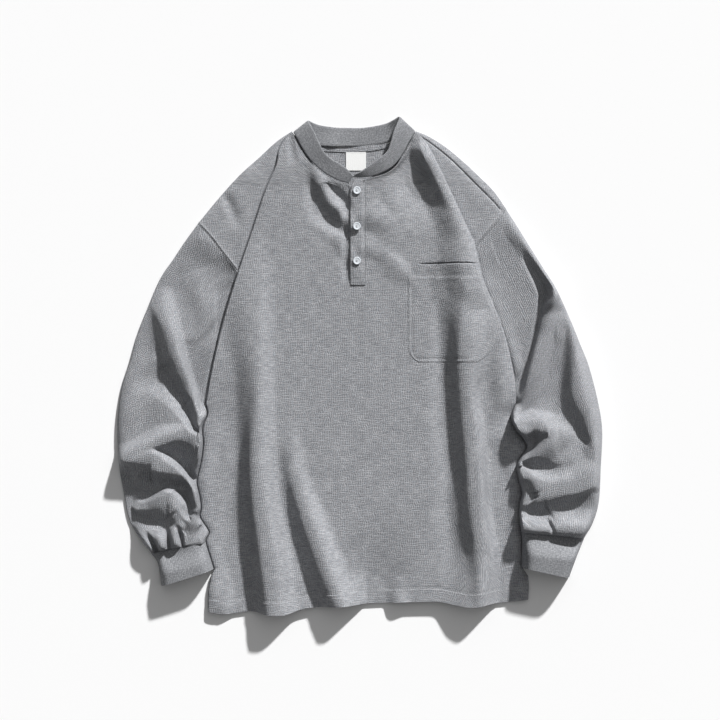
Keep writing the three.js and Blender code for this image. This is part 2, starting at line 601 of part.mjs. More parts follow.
// Sleeves and cuffs are tubes: rings run from the outer edge to the inner edge over a flat underside.
function alongLine(line, count) {
  const dense = smoothRows(line);
  const lengths = [0];
  for (let i = 1; i < dense.length; i += 1) {
    lengths.push(lengths[i - 1] + Math.hypot(dense[i][0] - dense[i - 1][0], dense[i][1] - dense[i - 1][1]));
  }
  const rows = dense.map((p, i) => [lengths[i], p[0], p[1]]);
  const x = reader(rows, 0, 1);
  const y = reader(rows, 0, 2);
  const total = lengths[lengths.length - 1];
  const out = [];
  for (let k = 0; k <= count; k += 1) out.push([x(total * k / count), y(total * k / count)]);
  return out;
}

function movedAside(points, distance) {
  return points.map((p, i) => {
    const a = points[Math.max(i - 1, 0)];
    const b = points[Math.min(i + 1, points.length - 1)];
    const length = Math.hypot(b[0] - a[0], b[1] - a[1]);
    return [p[0] + distance * (b[1] - a[1]) / length, p[1] - distance * (b[0] - a[0]) / length];
  });
}

function columnPlaces(width, insets) {
  const edge = insets.map((d, k) => Math.min(d, width * (k + NARROW_SHARE * Math.min(d, 1)) / SLEEVE_COLUMNS));
  const middle = SLEEVE_COLUMNS - 2 * (edge.length - 1);
  const start = edge[edge.length - 1];
  const out = [...edge];
  for (let k = 1; k < middle; k += 1) out.push(mix(start, width - start, k / middle));
  return [...out, ...edge.map((d) => width - d).reverse()];
}

// outer and inner are matching rows of plan points; from row closedFrom on, the inner side is a fold.
function tube(outer, inner, closedFrom, topAt, collapsed) {
  const rows = outer.map((o, i) => {
    const n = inner[i];
    const width = Math.hypot(n[0] - o[0], n[1] - o[1]);
    const place = (d) => [0, 1].map((axis) => mix(o[axis], n[axis], d / Math.max(width, 1e-6)));
    const closed = i >= closedFrom;
    const point = collapsed && i === 0;
    if (point) {
      const low = [o[0], o[1], EDGE_MIDDLE];
      const next = [mix(outer[1][0], inner[1][0], 0.5), mix(outer[1][1], inner[1][1], 0.5)];
      const inside = [mix(o[0], next[0], TIP_INSET), mix(o[1], next[1], TIP_INSET), EDGE_MIDDLE];
      const all = (p) => Array.from({ length: SLEEVE_COLUMNS + 1 }, () => p);
      return { upper: all(low), lower: all(low), liningUp: all(inside), liningLow: all(inside) };
    }
    const outerPlaces = columnPlaces(width, OUTER_INSETS);
    const innerPlaces = columnPlaces(width, INNER_INSETS);
    if (!closed) {
      innerPlaces.splice(SLEEVE_COLUMNS - 2, 3, ...outerPlaces.slice(SLEEVE_COLUMNS - 2));
    }
    const tops = outerPlaces.map((d) => [d, Math.max(topAt(...place(d)), EDGE_TOP)]);
    const rowTop = reader(tops, 0, 1);
    const upper = [];
    const lower = [];
    const liningUp = [];
    const liningLow = [];
    for (let j = 0; j <= SLEEVE_COLUMNS; j += 1) {
      const isEdge = j === 0 || (closed && j === SLEEVE_COLUMNS);
      const p = place(outerPlaces[j]);
      upper.push([...p, isEdge ? EDGE_MIDDLE : tops[j][1]]);
      lower.push([...p, isEdge ? EDGE_MIDDLE : 0]);
      const q = place(innerPlaces[j]);
      const ceiling = Math.max(rowTop(innerPlaces[j]) - wallDown(topAt, q[0], q[1], CLOTH), CLOTH + SEAM_GAP);
      liningUp.push([...q, isEdge ? EDGE_MIDDLE : ceiling]);
      liningLow.push([...q, isEdge ? EDGE_MIDDLE : CLOTH]);
    }
    return { upper, lower, liningUp, liningLow };
  });
  const skin = new Skin();
  const last = rows.length - 1;
  // The winding depends on whether the inner side lies at greater x.
  const flip = inner[last][0] > outer[last][0];
  const quad = (a, b, c, d) => (flip ? skin.quad(a, d, c, b) : skin.quad(a, b, c, d));
  const sheet = (name, up) => {
    for (let i = 0; i < last; i += 1) {
      for (let j = 0; j < SLEEVE_COLUMNS; j += 1) {
        const [a, b] = [rows[i][name][j], rows[i][name][j + 1]];
        const [c, d] = [rows[i + 1][name][j + 1], rows[i + 1][name][j]];
        if (up) quad(a, b, c, d);
        else quad(a, d, c, b);
      }
    }
  };
  sheet('upper', true);
  sheet('lower', false);
  sheet('liningUp', false);
  sheet('liningLow', true);
  const endWall = (pairs, forward) => {
    for (let k = 0; k + 1 < pairs.length; k += 1) {
      const [a, inA] = pairs[k];
      const [b, inB] = pairs[k + 1];
      if (forward) quad(a, inA, inB, b);
      else quad(a, b, inB, inA);
    }
  };
  const rowPairs = (i, one, two) => rows[i][one].map((p, j) => [p, rows[i][two][j]]);
  const sidePairs = (one, two) => rows.slice(0, closedFrom + 1)
    .map((row) => [row[one][SLEEVE_COLUMNS], row[two][SLEEVE_COLUMNS]]);
  endWall(rowPairs(last, 'upper', 'liningUp'), false);
  endWall(rowPairs(last, 'lower', 'liningLow'), true);
  if (collapsed) {
    endWall(sidePairs('upper', 'liningUp'), true);
    endWall(sidePairs('lower', 'liningLow'), false);
  } else {
    endWall(rowPairs(0, 'upper', 'liningUp'), true);
    endWall(rowPairs(0, 'lower', 'liningLow'), false);
  }
  return skin.geometry();
}

function sleeveHeight(outerRows, innerRows, folds, crownRows, seam, hole) {
  const outerLine = smoothRows(outerRows);
  const innerLine = smoothRows(innerRows);
  const fold = foldField(folds);
  const crown = reader(crownRows, 0, 1);
  return (x, y) => {
    const fromOuter = nearest(x, y, outerLine).distance;
    const fromInner = nearest(x, y, innerLine).distance;
    const fromSeam = nearest(x, y, seam).distance;
    const round = rise(fromOuter, SLEEVE_EDGE_REACH) * rise(fromInner, SLEEVE_INNER_REACH);
    const soft = rise(fromOuter, FOLD_OUTER_REACH) * rise(fromInner, FOLD_INNER_REACH);
    const plain = EDGE_TOP + (crown(y) - EDGE_TOP) * round;
    const free = sagged(Math.max(plain + fold(x, y) * soft, Math.min(plain, SLEEVE_LEAST)));
    const full = mix(Math.min(seamTop(y), free), free, rise(nearest(x, y, hole).distance, HOLE_REACH));
    return mix(Math.min(CUFF_TOP, full), full, rise(fromSeam, CUFF_BLOUSE));
  };
}

const sleeveRowsY = rowHeights.filter((y) => y < ARMPIT_Y - 0.1).reverse();

function sleeveInner(armhole, fold, foldFrom, aside) {
  const upper = alongLine(armhole, ARMHOLE_ROWS);
  const lower = [];
  for (let k = 1; k <= FOLD_ROWS; k += 1) {
    const y = mix(foldFrom, ARMPIT_Y, k / FOLD_ROWS);
    lower.push([fold(y), y]);
  }
  return movedAside([...upper, ...lower], aside);
}

function cuffTopAt(outerRows, innerRows) {
  const outerLine = smoothRows(outerRows);
  const innerLine = smoothRows(innerRows);
  return (x, y) => {
    const fromOuter = nearest(x, y, outerLine).distance;
    const fromInner = nearest(x, y, innerLine).distance;
    const round = rise(fromOuter, CUFF_EDGE_REACH) * rise(fromInner, CUFF_EDGE_REACH);
    return EDGE_TOP + (CUFF_TOP - EDGE_TOP) * round;
  };
}

function addSleeve(side) {
  const seam = [side.outer[side.outer.length - 1], side.inner[side.inner.length - 1]];
  const seamEnd = seam[1];
  const upper = sleeveInner(side.armhole, side.foldX, side.tipY, side.aside);
  const height = sleeveHeight(side.outer, side.inner, side.folds, side.crown, seam, upper);
  const lowRows = sleeveRowsY.filter((y) => y > seamEnd[1] + LAST_ROW_CLEAR);
  const inner = [...upper, ...lowRows.map((y) => [side.innerX(y), y]), seamEnd];
  const outer = alongLine(side.outer, inner.length - 1);
  add(`sleeve_${side.name}`, tube(outer, inner, ARMHOLE_ROWS + FOLD_ROWS, height, true), materials.knit);

  const shift = SEAM_GAP + 0.1;
  const cuffOuter = alongLine(side.cuffOuter.map(([x, y]) => [x, y - shift]), CUFF_ROWS);
  const cuffInner = alongLine(side.cuffInner.map(([x, y]) => [x, y - shift]), CUFF_ROWS);
  const cuffTop = cuffTopAt(side.cuffOuter, side.cuffInner);
  add(`cuff_${side.name}`, tube(cuffOuter, cuffInner, 0, cuffTop, false), materials.rib);
}

const leftSide = {
  name: 'left', outer: LEFT_OUTER, inner: LEFT_INNER, armhole: LEFT_ARMHOLE, foldX: leftFoldX, tipY: LEFT_TIP_Y,
  innerX: leftInnerX, folds: LEFT_SLEEVE_FOLDS, crown: LEFT_SLEEVE_CROWN, aside: SIDE_GAP,
  cuffOuter: LEFT_CUFF_OUTER, cuffInner: LEFT_CUFF_INNER,
};
const rightSide = {
  name: 'right', outer: RIGHT_OUTER, inner: RIGHT_INNER, armhole: RIGHT_ARMHOLE, foldX: rightFoldX,
  tipY: RIGHT_TIP_Y, innerX: rightInnerX, folds: RIGHT_SLEEVE_FOLDS, crown: RIGHT_SLEEVE_CROWN,
  aside: -SIDE_GAP,
  cuffOuter: RIGHT_CUFF_OUTER, cuffInner: RIGHT_CUFF_INNER,
};
addSleeve(leftSide);
addSleeve(rightSide);

// Collar: a band swept from station to station, its ends meeting at centre front
const stations = smoothRows(COLLAR_STATIONS, COLLAR_STEPS);
const bandPoint = (k, share) => new THREE.Vector3(
  mix(stations[k][0], stations[k][3], share),
  mix(stations[k][1], stations[k][4], share),
  mix(stations[k][2], stations[k][5], share),
);

function collarGeometry() {
  const skin = new Skin();
  const last = stations.length - 1;
  const rows = stations.map((_, k) => {
    const row = { face: [], back: [] };
    for (let j = 0; j <= COLLAR_BANDS; j += 1) {
      const share = j / COLLAR_BANDS;
      const along = bandPoint(Math.min(k + 1, last), share).sub(bandPoint(Math.max(k - 1, 0), share));
      const across = bandPoint(k, 1).sub(bandPoint(k, 0));
      const normal = across.cross(along).normalize().multiplyScalar(COLLAR_WALL / 2);
      const middle = bandPoint(k, share);
      row.face.push(middle.clone().add(normal).toArray());
      row.back.push(middle.clone().sub(normal).toArray());
    }
    return row;
  });
  for (let k = 0; k < last; k += 1) {
    const [a, b] = [rows[k], rows[k + 1]];
    for (let j = 0; j < COLLAR_BANDS; j += 1) {
      skin.quad(a.face[j], a.face[j + 1], b.face[j + 1], b.face[j]);
      skin.quad(a.back[j], b.back[j], b.back[j + 1], a.back[j + 1]);
    }
    skin.quad(a.back[0], a.face[0], b.face[0], b.back[0]);
    skin.quad(a.face[COLLAR_BANDS], a.back[COLLAR_BANDS], b.back[COLLAR_BANDS], b.face[COLLAR_BANDS]);
  }
  for (let j = 0; j < COLLAR_BANDS; j += 1) {
    skin.quad(rows[0].back[j], rows[0].back[j + 1], rows[0].face[j + 1], rows[0].face[j]);
    skin.quad(rows[last].face[j], rows[last].face[j + 1], rows[last].back[j + 1], rows[last].back[j]);
  }
  return skin.geometry();
}
add('collar', collarGeometry(), materials.rib);

// Placket: the under strip fills the slot, the upper strip lies over both
const underOutline = [
  [SLOT_LEFT + SEAM_GAP, SLOT_BOTTOM + SEAM_GAP], [SLOT_RIGHT - SEAM_GAP, SLOT_BOTTOM + SEAM_GAP],
  [SLOT_RIGHT - SEAM_GAP, SLOT_TOP_LEFT - 0.5], [SLOT_LEFT + SEAM_GAP, SLOT_TOP_LEFT - 0.5],
];
const upperOutline = [
  [PLACKET_LEFT, PLACKET_BOTTOM], [PLACKET_RIGHT, PLACKET_BOTTOM], [PLACKET_RIGHT, PLACKET_TOP],
  [-8.8, PLACKET_TOP], [-9.6, 275.5], [-11.4, 272], [-13.4, 268], [PLACKET_LEFT, 263],
];
add('placket_under', geometryOf(layerOnFront(underOutline, -CLOTH, CLOTH)), materials.knit);
add('placket_upper', geometryOf(layerOnFront(upperOutline, SEAM_GAP, PLACKET_WALL)), materials.knit);

// Pocket with a turned hem
function pocketOutline(low) {
  const points = [];
  const corner = (cx, cy, from) => {
    for (let k = 0; k <= POCKET_CORNER_STEPS; k += 1) {
      const angle = from + (Math.PI / 2) * (k / POCKET_CORNER_STEPS);
      points.push([cx + POCKET_CORNER * Math.cos(angle), cy + POCKET_CORNER * Math.sin(angle)]);
    }
  };
  if (low > POCKET_BOTTOM) {
    points.push([POCKET_LEFT, low], [POCKET_RIGHT, low]);
  } else {
    corner(POCKET_LEFT + POCKET_CORNER, POCKET_BOTTOM + POCKET_CORNER, Math.PI);
    corner(POCKET_RIGHT - POCKET_CORNER, POCKET_BOTTOM + POCKET_CORNER, 1.5 * Math.PI);
  }
  for (const y of [100, 115, 130, 140, POCKET_TOP]) {
    if (y > low) points.push([Math.min(POCKET_RIGHT, rightFoldX(y) - POCKET_CLEAR), y]);
  }
  points.push([POCKET_LEFT, POCKET_TOP]);
  return points;
}
const pocketHem = pocketOutline(POCKET_TOP - POCKET_HEM)
  .map(([x, y]) => [Math.min(x, rightFoldX(y) - POCKET_CLEAR), y]);
const pocket = layerOnFront(pocketOutline(POCKET_BOTTOM), SEAM_GAP, POCKET_WALL)
  .add(layerOnFront(pocketHem, SEAM_GAP, POCKET_HEM_WALL));
add('pocket', geometryOf(pocket), materials.knit);

// Label and tape lie inside the neck on the back
const insideLevel = CLOTH + SEAM_GAP;
const labelOutline = [[LABEL_LEFT, LABEL_BOTTOM], [LABEL_RIGHT, LABEL_BOTTOM], [LABEL_RIGHT, LABEL_TOP],
  [LABEL_LEFT, LABEL_TOP]];
add('neck_label', flatPiece(labelOutline, insideLevel, LABEL_WALL), materials.label);
const tapeLine = BACK_NECK.slice(3, 8);
const tapeOutline = [
  ...smoothRows(tapeLine, 3).map(([x, y]) => [x, y - TAPE_NEAR]),
  ...smoothRows(tapeLine, 3).reverse().map(([x, y]) => [x, y - TAPE_FAR]),
];
add('neck_tape', flatPiece(tapeOutline, insideLevel, TAPE_WALL), materials.knit);

// Buttons
function buttonSolid() {
  const disc = new THREE.LatheGeometry(BUTTON_PROFILE.map(([x, y]) => new THREE.Vector2(x, y)), BUTTON_SIDES);
  disc.rotateX(Math.PI / 2);
  let solid = manifoldOf(disc);
  for (let k = 0; k < 4; k += 1) {
    const hole = new THREE.CylinderGeometry(BUTTON_HOLE_RADIUS, BUTTON_HOLE_RADIUS, 4 * BUTTON_WALL, 8);
    hole.rotateX(Math.PI / 2);
    const angle = Math.PI / 4 + k * Math.PI / 2;
    hole.translate(BUTTON_HOLE_RING * Math.cos(angle), BUTTON_HOLE_RING * Math.sin(angle), 0);
    solid = solid.subtract(manifoldOf(hole));
  }
  return solid;
}

// Height of the front at a plan point inside the slot, read off its own triangles
function slotHeight(x, y) {
  const i = frontPlan.findIndex((row, k) => k > 0 && row[slotColumn].y > y) - 1;
  const [a, b] = [frontPlan[i][slotColumn], frontPlan[i][slotColumn + 1]];
  const [d, c] = [frontPlan[i + 1][slotColumn], frontPlan[i + 1][slotColumn + 1]];
  const u = (x - a.x) / (b.x - a.x);
  const v = (y - a.y) / (d.y - a.y);
  if (u > v) return a.top + u * (b.top - a.top) + v * (c.top - b.top);
  return a.top + v * (d.top - a.top) + u * (c.top - d.top);
}

function highestUnder(x, y) {
  const rim = Array.from({ length: BUTTON_SIDES }, (_, k) => k * 2 * Math.PI / BUTTON_SIDES);
  const r = BUTTON_RADIUS;
  return Math.max(...rim.map((a) => slotHeight(x + r * Math.cos(a), y + r * Math.sin(a))));
}

BUTTON_ROWS.forEach((y, k) => {
  const mesh = add(`button_${k + 1}`, geometryOf(buttonSolid()), materials.button);
  const seat = highestUnder(BUTTON_X, y);
  mesh.position.set(BUTTON_X, y, seat + SEAM_GAP + PLACKET_WALL + SEAM_GAP);
});

export default shirt;
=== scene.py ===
# %% [markdown]
# A henley shirt, laid flat on its back on a white table and seen from straight above.
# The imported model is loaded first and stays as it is: it says where every sewn piece lies.
# Everything below is in metres in that same frame, with lengths written in millimetres times MM.

# %% Load the frame
import math
import bpy
import bmesh
import numpy as np
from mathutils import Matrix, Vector
from mathutils.bvhtree import BVHTree


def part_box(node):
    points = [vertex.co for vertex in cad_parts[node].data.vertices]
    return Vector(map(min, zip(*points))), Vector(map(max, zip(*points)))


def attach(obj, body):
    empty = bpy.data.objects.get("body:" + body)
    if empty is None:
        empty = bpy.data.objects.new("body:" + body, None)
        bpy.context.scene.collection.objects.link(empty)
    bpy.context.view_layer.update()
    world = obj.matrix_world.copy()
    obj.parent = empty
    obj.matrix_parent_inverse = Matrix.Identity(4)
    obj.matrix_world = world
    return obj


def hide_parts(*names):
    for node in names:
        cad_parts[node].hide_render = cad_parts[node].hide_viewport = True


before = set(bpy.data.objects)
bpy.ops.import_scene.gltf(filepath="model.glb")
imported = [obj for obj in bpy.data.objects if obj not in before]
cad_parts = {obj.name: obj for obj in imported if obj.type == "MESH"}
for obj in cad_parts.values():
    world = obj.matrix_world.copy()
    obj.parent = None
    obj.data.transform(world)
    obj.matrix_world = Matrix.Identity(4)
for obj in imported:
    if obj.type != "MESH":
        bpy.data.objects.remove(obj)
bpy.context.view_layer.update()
MM = 0.001

# %% [markdown]
# The picture was taken from straight above, so the camera looks down at the table.
# A long lens from three metres keeps the sleeves from leaning outwards.
# The picture is 720 pixels wide and shows 1.5 mm of table in each pixel.

# %% Camera
PICTURE_PIXELS = 720
MM_PER_PIXEL = 1.5
CAMERA_HEIGHT = 3.0
PICTURE_MIDDLE = (0.45, 7.7)
MIDDLE = (-0.45, 1.3)

camera_data = bpy.data.cameras.new("camera")
camera_data.lens = camera_data.sensor_width * CAMERA_HEIGHT / (PICTURE_PIXELS * MM_PER_PIXEL * MM)
camera = bpy.data.objects.new("camera", camera_data)
camera.location = (PICTURE_MIDDLE[0] * MM, PICTURE_MIDDLE[1] * MM, CAMERA_HEIGHT)
bpy.context.scene.collection.objects.link(camera)
bpy.context.scene.camera = camera
print("lens", round(camera_data.lens, 1))

# %% [markdown]
# One low lamp from the upper right makes the folds read. Its bounce is a second, very soft lamp high on the same
# side, and a weak pale sky fills what is left, so the far sides of folds stay darker than the table's shadows.
# Sun lamps are used because every shadow in the picture runs the same way.

# %% Light and table
SUN_TURN = 28
LAMPS = {"key": {"height": 26.5, "strength": 5.75, "softness": 3.0}, "bounce": {"height": 62, "strength": 0.5, "softness": 80.0}}
SKY_STRENGTH = 0.13

for name, lamp in LAMPS.items():
    sun_data = bpy.data.lights.new(name, "SUN")
    sun_data.energy = lamp["strength"]
    sun_data.angle = math.radians(lamp["softness"])
    sun = bpy.data.objects.new(name, sun_data)
    sun.rotation_euler = (math.radians(90 - lamp["height"]), 0, math.radians(180 - SUN_TURN))
    bpy.context.scene.collection.objects.link(sun)

world = bpy.data.worlds.new("studio")
world.use_nodes = True
world.node_tree.nodes["Background"].inputs["Color"].default_value = (1.0, 1.0, 1.0, 1.0)
world.node_tree.nodes["Background"].inputs["Strength"].default_value = SKY_STRENGTH
bpy.context.scene.world = world
bpy.context.scene.view_settings.view_transform = "Standard"

TABLE_HALF = 3.0
table_mesh = bpy.data.meshes.new("table")
table_corners = [(-TABLE_HALF, -TABLE_HALF), (TABLE_HALF, -TABLE_HALF), (TABLE_HALF, TABLE_HALF), (-TABLE_HALF, TABLE_HALF)]
table_mesh.from_pydata([(x, y, -0.0003) for x, y in table_corners], [], [(0, 1, 2, 3)])
table = bpy.data.objects.new("table", table_mesh)
bpy.context.scene.collection.objects.link(table)
table_paint = bpy.data.materials.new("table_white")
table_paint.use_nodes = True
table_paint.node_tree.nodes["Principled BSDF"].inputs["Base Color"].default_value = (0.89, 0.89, 0.89, 1)
table_paint.node_tree.nodes["Principled BSDF"].inputs["Roughness"].default_value = 0.9
table_mesh.materials.append(table_paint)

# %% [markdown]
# Small helpers for curves: a smooth line through a few rows, the distance from many points to such a line,
# and a soft step. They work on whole arrays, because the cloth has tens of thousands of points.

# %% Curve helpers
def smooth_rows(rows, steps=8):
    p = np.asarray(rows, float)
    a = np.vstack([2 * p[0] - p[1], p, 2 * p[-1] - p[-2]])
    t = (np.arange(steps) / steps)[:, None]
    out = []
    for i in range(len(p) - 1):
        p0, p1, p2, p3 = a[i:i + 4]
        out.append(0.5 * (2 * p1 + (p2 - p0) * t + (2 * p0 - 5 * p1 + 4 * p2 - p3) * t ** 2
                          + (3 * p1 - p0 - 3 * p2 + p3) * t ** 3))
    out.append(p[-1:])
    return np.vstack(out)


def reader(rows, key, value):
    table = np.asarray(rows, float)
    table = table[np.argsort(table[:, key], kind="stable")]
    return lambda at: np.interp(at, table[:, key], table[:, value])


def x_of(rows):
    return reader(smooth_rows(rows), 1, 0)


def ease(low, high, value):
    t = np.clip((value - low) / (high - low), 0, 1)
    return t * t * (3 - 2 * t)


def rise(distance, reach):
    return 1 - np.exp(-np.maximum(distance, 0) / reach)


def mix(a, b, share):
    return a + (b - a) * share


SOFT_LIMIT, SOFT_ROOM = 30, 6


def settled_height(height):
    """Cloth sags where several folds meet, so heights over the soft limit are pressed together."""
    return np.where(height > SOFT_LIMIT, SOFT_LIMIT + SOFT_ROOM * rise(height - SOFT_LIMIT, SOFT_ROOM), height)


def nearest(x, y, line):
    best = np.full(x.shape, 1e9)
    side = np.ones(x.shape)
    row = np.zeros(x.shape + (line.shape[1],))
    for a, b in zip(line[:-1], line[1:]):
        d = b[:2] - a[:2]
        t = np.clip(((x - a[0]) * d[0] + (y - a[1]) * d[1]) / max(float(d @ d), 1e-9), 0, 1)
        ex, ey = x - a[0] - t * d[0], y - a[1] - t * d[1]
        distance = np.hypot(ex, ey)
        closer = distance < best
        best = np.where(closer, distance, best)
        side = np.where(closer, np.where(d[0] * (y - a[1]) - d[1] * (x - a[0]) >= 0, 1, -1), side)
        row = np.where(closer[..., None], a + t[..., None] * (b - a), row)
    return best, side, row


def fold_height(x, y, folds):
    """Height that a table of folds adds: rows are x, y, height, width left of travel, width right."""
    height = np.zeros(x.shape)
    for rows in folds.values():
        line = smooth_rows(rows, 5)
        reach = line[:, 3:5].max()
        low, high = line[:, :2].min(0) - reach, line[:, :2].max(0) + reach
        here = (x > low[0]) & (x < high[0]) & (y > low[1]) & (y < high[1])
        if here.any():
            distance, side, row = nearest(x[here], y[here], line)
            q = np.clip(distance / np.maximum(np.where(side > 0, row[:, 3], row[:, 4]), 0.5), 0, 1)
            height[here] += row[:, 2] * (1 - q * q) ** 2
    return height


# %% [markdown]
# The outlines of the cut pieces as they lie, in millimetres: the same curves that the solids were built from.
# Each row is x, y. Left and right are as the camera sees them.

# %% Outlines
CLOTH = 2.0
SEAM_GAP = 0.3
SIDE_GAP = 0.35
EDGE_TOP = 2 * CLOTH + SEAM_GAP
EDGE_MIDDLE = EDGE_TOP / 2
SHOULDER_TOP = 10.5
BODY_TOP = 13.0
LEFT_SHOULDER = [(-102, 351.5), (-125, 336), (-150, 313), (-180, 286), (-210, 253), (-243, 213)]
RIGHT_SHOULDER = [(84, 351.5), (100, 345), (125, 330), (150, 310), (175, 287), (200, 262), (219, 235)]
LEFT_ARMHOLE = [(-243, 213), (-225, 194), (-205, 168), (-183, 140)]
RIGHT_ARMHOLE = [(219, 235), (205, 215), (190, 198), (173, 178)]
LEFT_FOLD = [(-102, 351.5), (-120, 326), (-126, 300), (-143, 260), (-160, 208), (-183, 140),
             (-200, 85), (-213, 35), (-223, -10), (-231, -55)]
RIGHT_FOLD = [(84, 351.5), (96, 338), (112, 310), (135, 262), (158, 212), (173, 178),
              (185, 130), (200, 92), (215, 52), (226, 10), (232.5, -25), (234, -55)]
LEFT_NECK = [(-102, 351.5), (-96.5, 339), (-89.5, 325.5), (-79.5, 310.5), (-67, 297),
             (-51.5, 284.8), (-34, 275.6), (-17, 271)]
RIGHT_NECK = [(84, 351.5), (77.5, 340), (69.8, 323.5), (60.8, 308.5), (49, 294.5), (34, 286), (8.3, 280)]
BACK_NECK = [(-102, 351.5), (-94.5, 341.6), (-78.5, 332.4), (-60, 328.2), (-30, 326.9), (0, 327.2),
             (25, 329.6), (46, 334.6), (65, 340.6), (84, 351.5)]
LEFT_OUTER = [(-243, 213), (-262, 187), (-280, 160), (-300, 130), (-318, 88), (-333, 50), (-345, 8),
              (-358, -35), (-364, -90), (-361, -150), (-354, -190), (-346, -230), (-329, -260), (-313, -280)]
RIGHT_OUTER = [(219, 235), (235, 210), (255, 178), (275, 146), (294, 116), (315, 70), (330, 33), (343, 0),
               (356, -50), (363, -95), (361, -150), (358, -203), (349, -235), (336, -258)]
LEFT_INNER = [(-231, -55), (-229, -72), (-236, -92), (-235, -117), (-238, -142), (-244, -172),
              (-240, -195), (-238, -212), (-240, -225), (-232, -238), (-226, -249), (-231, -263)]
RIGHT_INNER = [(234, -55), (226, -74), (230, -90), (243, -108), (249, -122), (240, -137), (234, -150),
               (238, -172), (242, -190), (239, -205), (238, -225), (241, -248)]
LEFT_CUFF_OUTER = [(-313, -280), (-303, -296), (-298, -328)]
LEFT_CUFF_INNER = [(-231, -263), (-225, -283), (-219, -303)]
RIGHT_CUFF_OUTER = [(336, -258), (325, -285), (314, -315)]
RIGHT_CUFF_INNER = [(241, -248), (242, -275), (241, -299)]
LOW_SIDES = [(-304, -218.2, 244.5), (-316, -224, 252), (-335, -227.5, 253), (-360, -228, 252)]
HEM = [(-228, -368), (-200, -371), (-165, -367), (-140, -370), (-110, -370), (-85, -363), (-60, -360),
       (0, -356), (60, -353), (115, -352), (140, -356), (165, -359), (190, -356), (252, -350)]
HEM_ROW = -360
HEM_REACH = 50
SHOULDER_Y = 351.5
ARMPIT_Y = -55
LEFT_TIP_Y, RIGHT_TIP_Y = 140, 178
LEFT_POINT_Y, RIGHT_POINT_Y = 213, 235
SLOT_LEFT, SLOT_RIGHT, SLOT_BOTTOM = -17, 8.3, 124
SLOT_TOP_LEFT, SLOT_TOP_RIGHT = 271, 280

left_fold_x, right_fold_x = x_of(LEFT_FOLD), x_of(RIGHT_FOLD)
left_inner_x = x_of(LEFT_INNER + LEFT_CUFF_INNER[1:])
right_inner_x = x_of(RIGHT_INNER + RIGHT_CUFF_INNER[1:])
hem_y = reader(smooth_rows(HEM), 0, 1)


def body_side(y, fold_x, inner_x, column, towards_body):
    low_x = reader(LOW_SIDES, 0, column)
    beside_sleeve = np.where(y < -300, low_x(y), inner_x(y) + towards_body * SIDE_GAP)
    return np.where(y >= ARMPIT_Y, fold_x(y), beside_sleeve)


def body_left(y):
    return body_side(y, left_fold_x, left_inner_x, 1, 1)


def body_right(y):
    return body_side(y, right_fold_x, right_inner_x, 2, -1)


def panel_left(y):
    return np.where(y >= LEFT_POINT_Y, x_of(LEFT_SHOULDER)(y),
                    np.where(y > LEFT_TIP_Y, x_of(LEFT_ARMHOLE)(y), body_left(y)))


def panel_right(y):
    return np.where(y >= RIGHT_POINT_Y, x_of(RIGHT_SHOULDER)(y),
                    np.where(y > RIGHT_TIP_Y, x_of(RIGHT_ARMHOLE)(y), body_right(y)))


# %% [markdown]
# A fold is written as its crest: a few rows of place, height and how far it reaches to each side.
# A small reach gives the crisp side that a fold turns to the lamp, a long one the side that falls away.
# The first tables are the large folds that the solids have too. The last ones are small creases that only
# the finished cloth has.

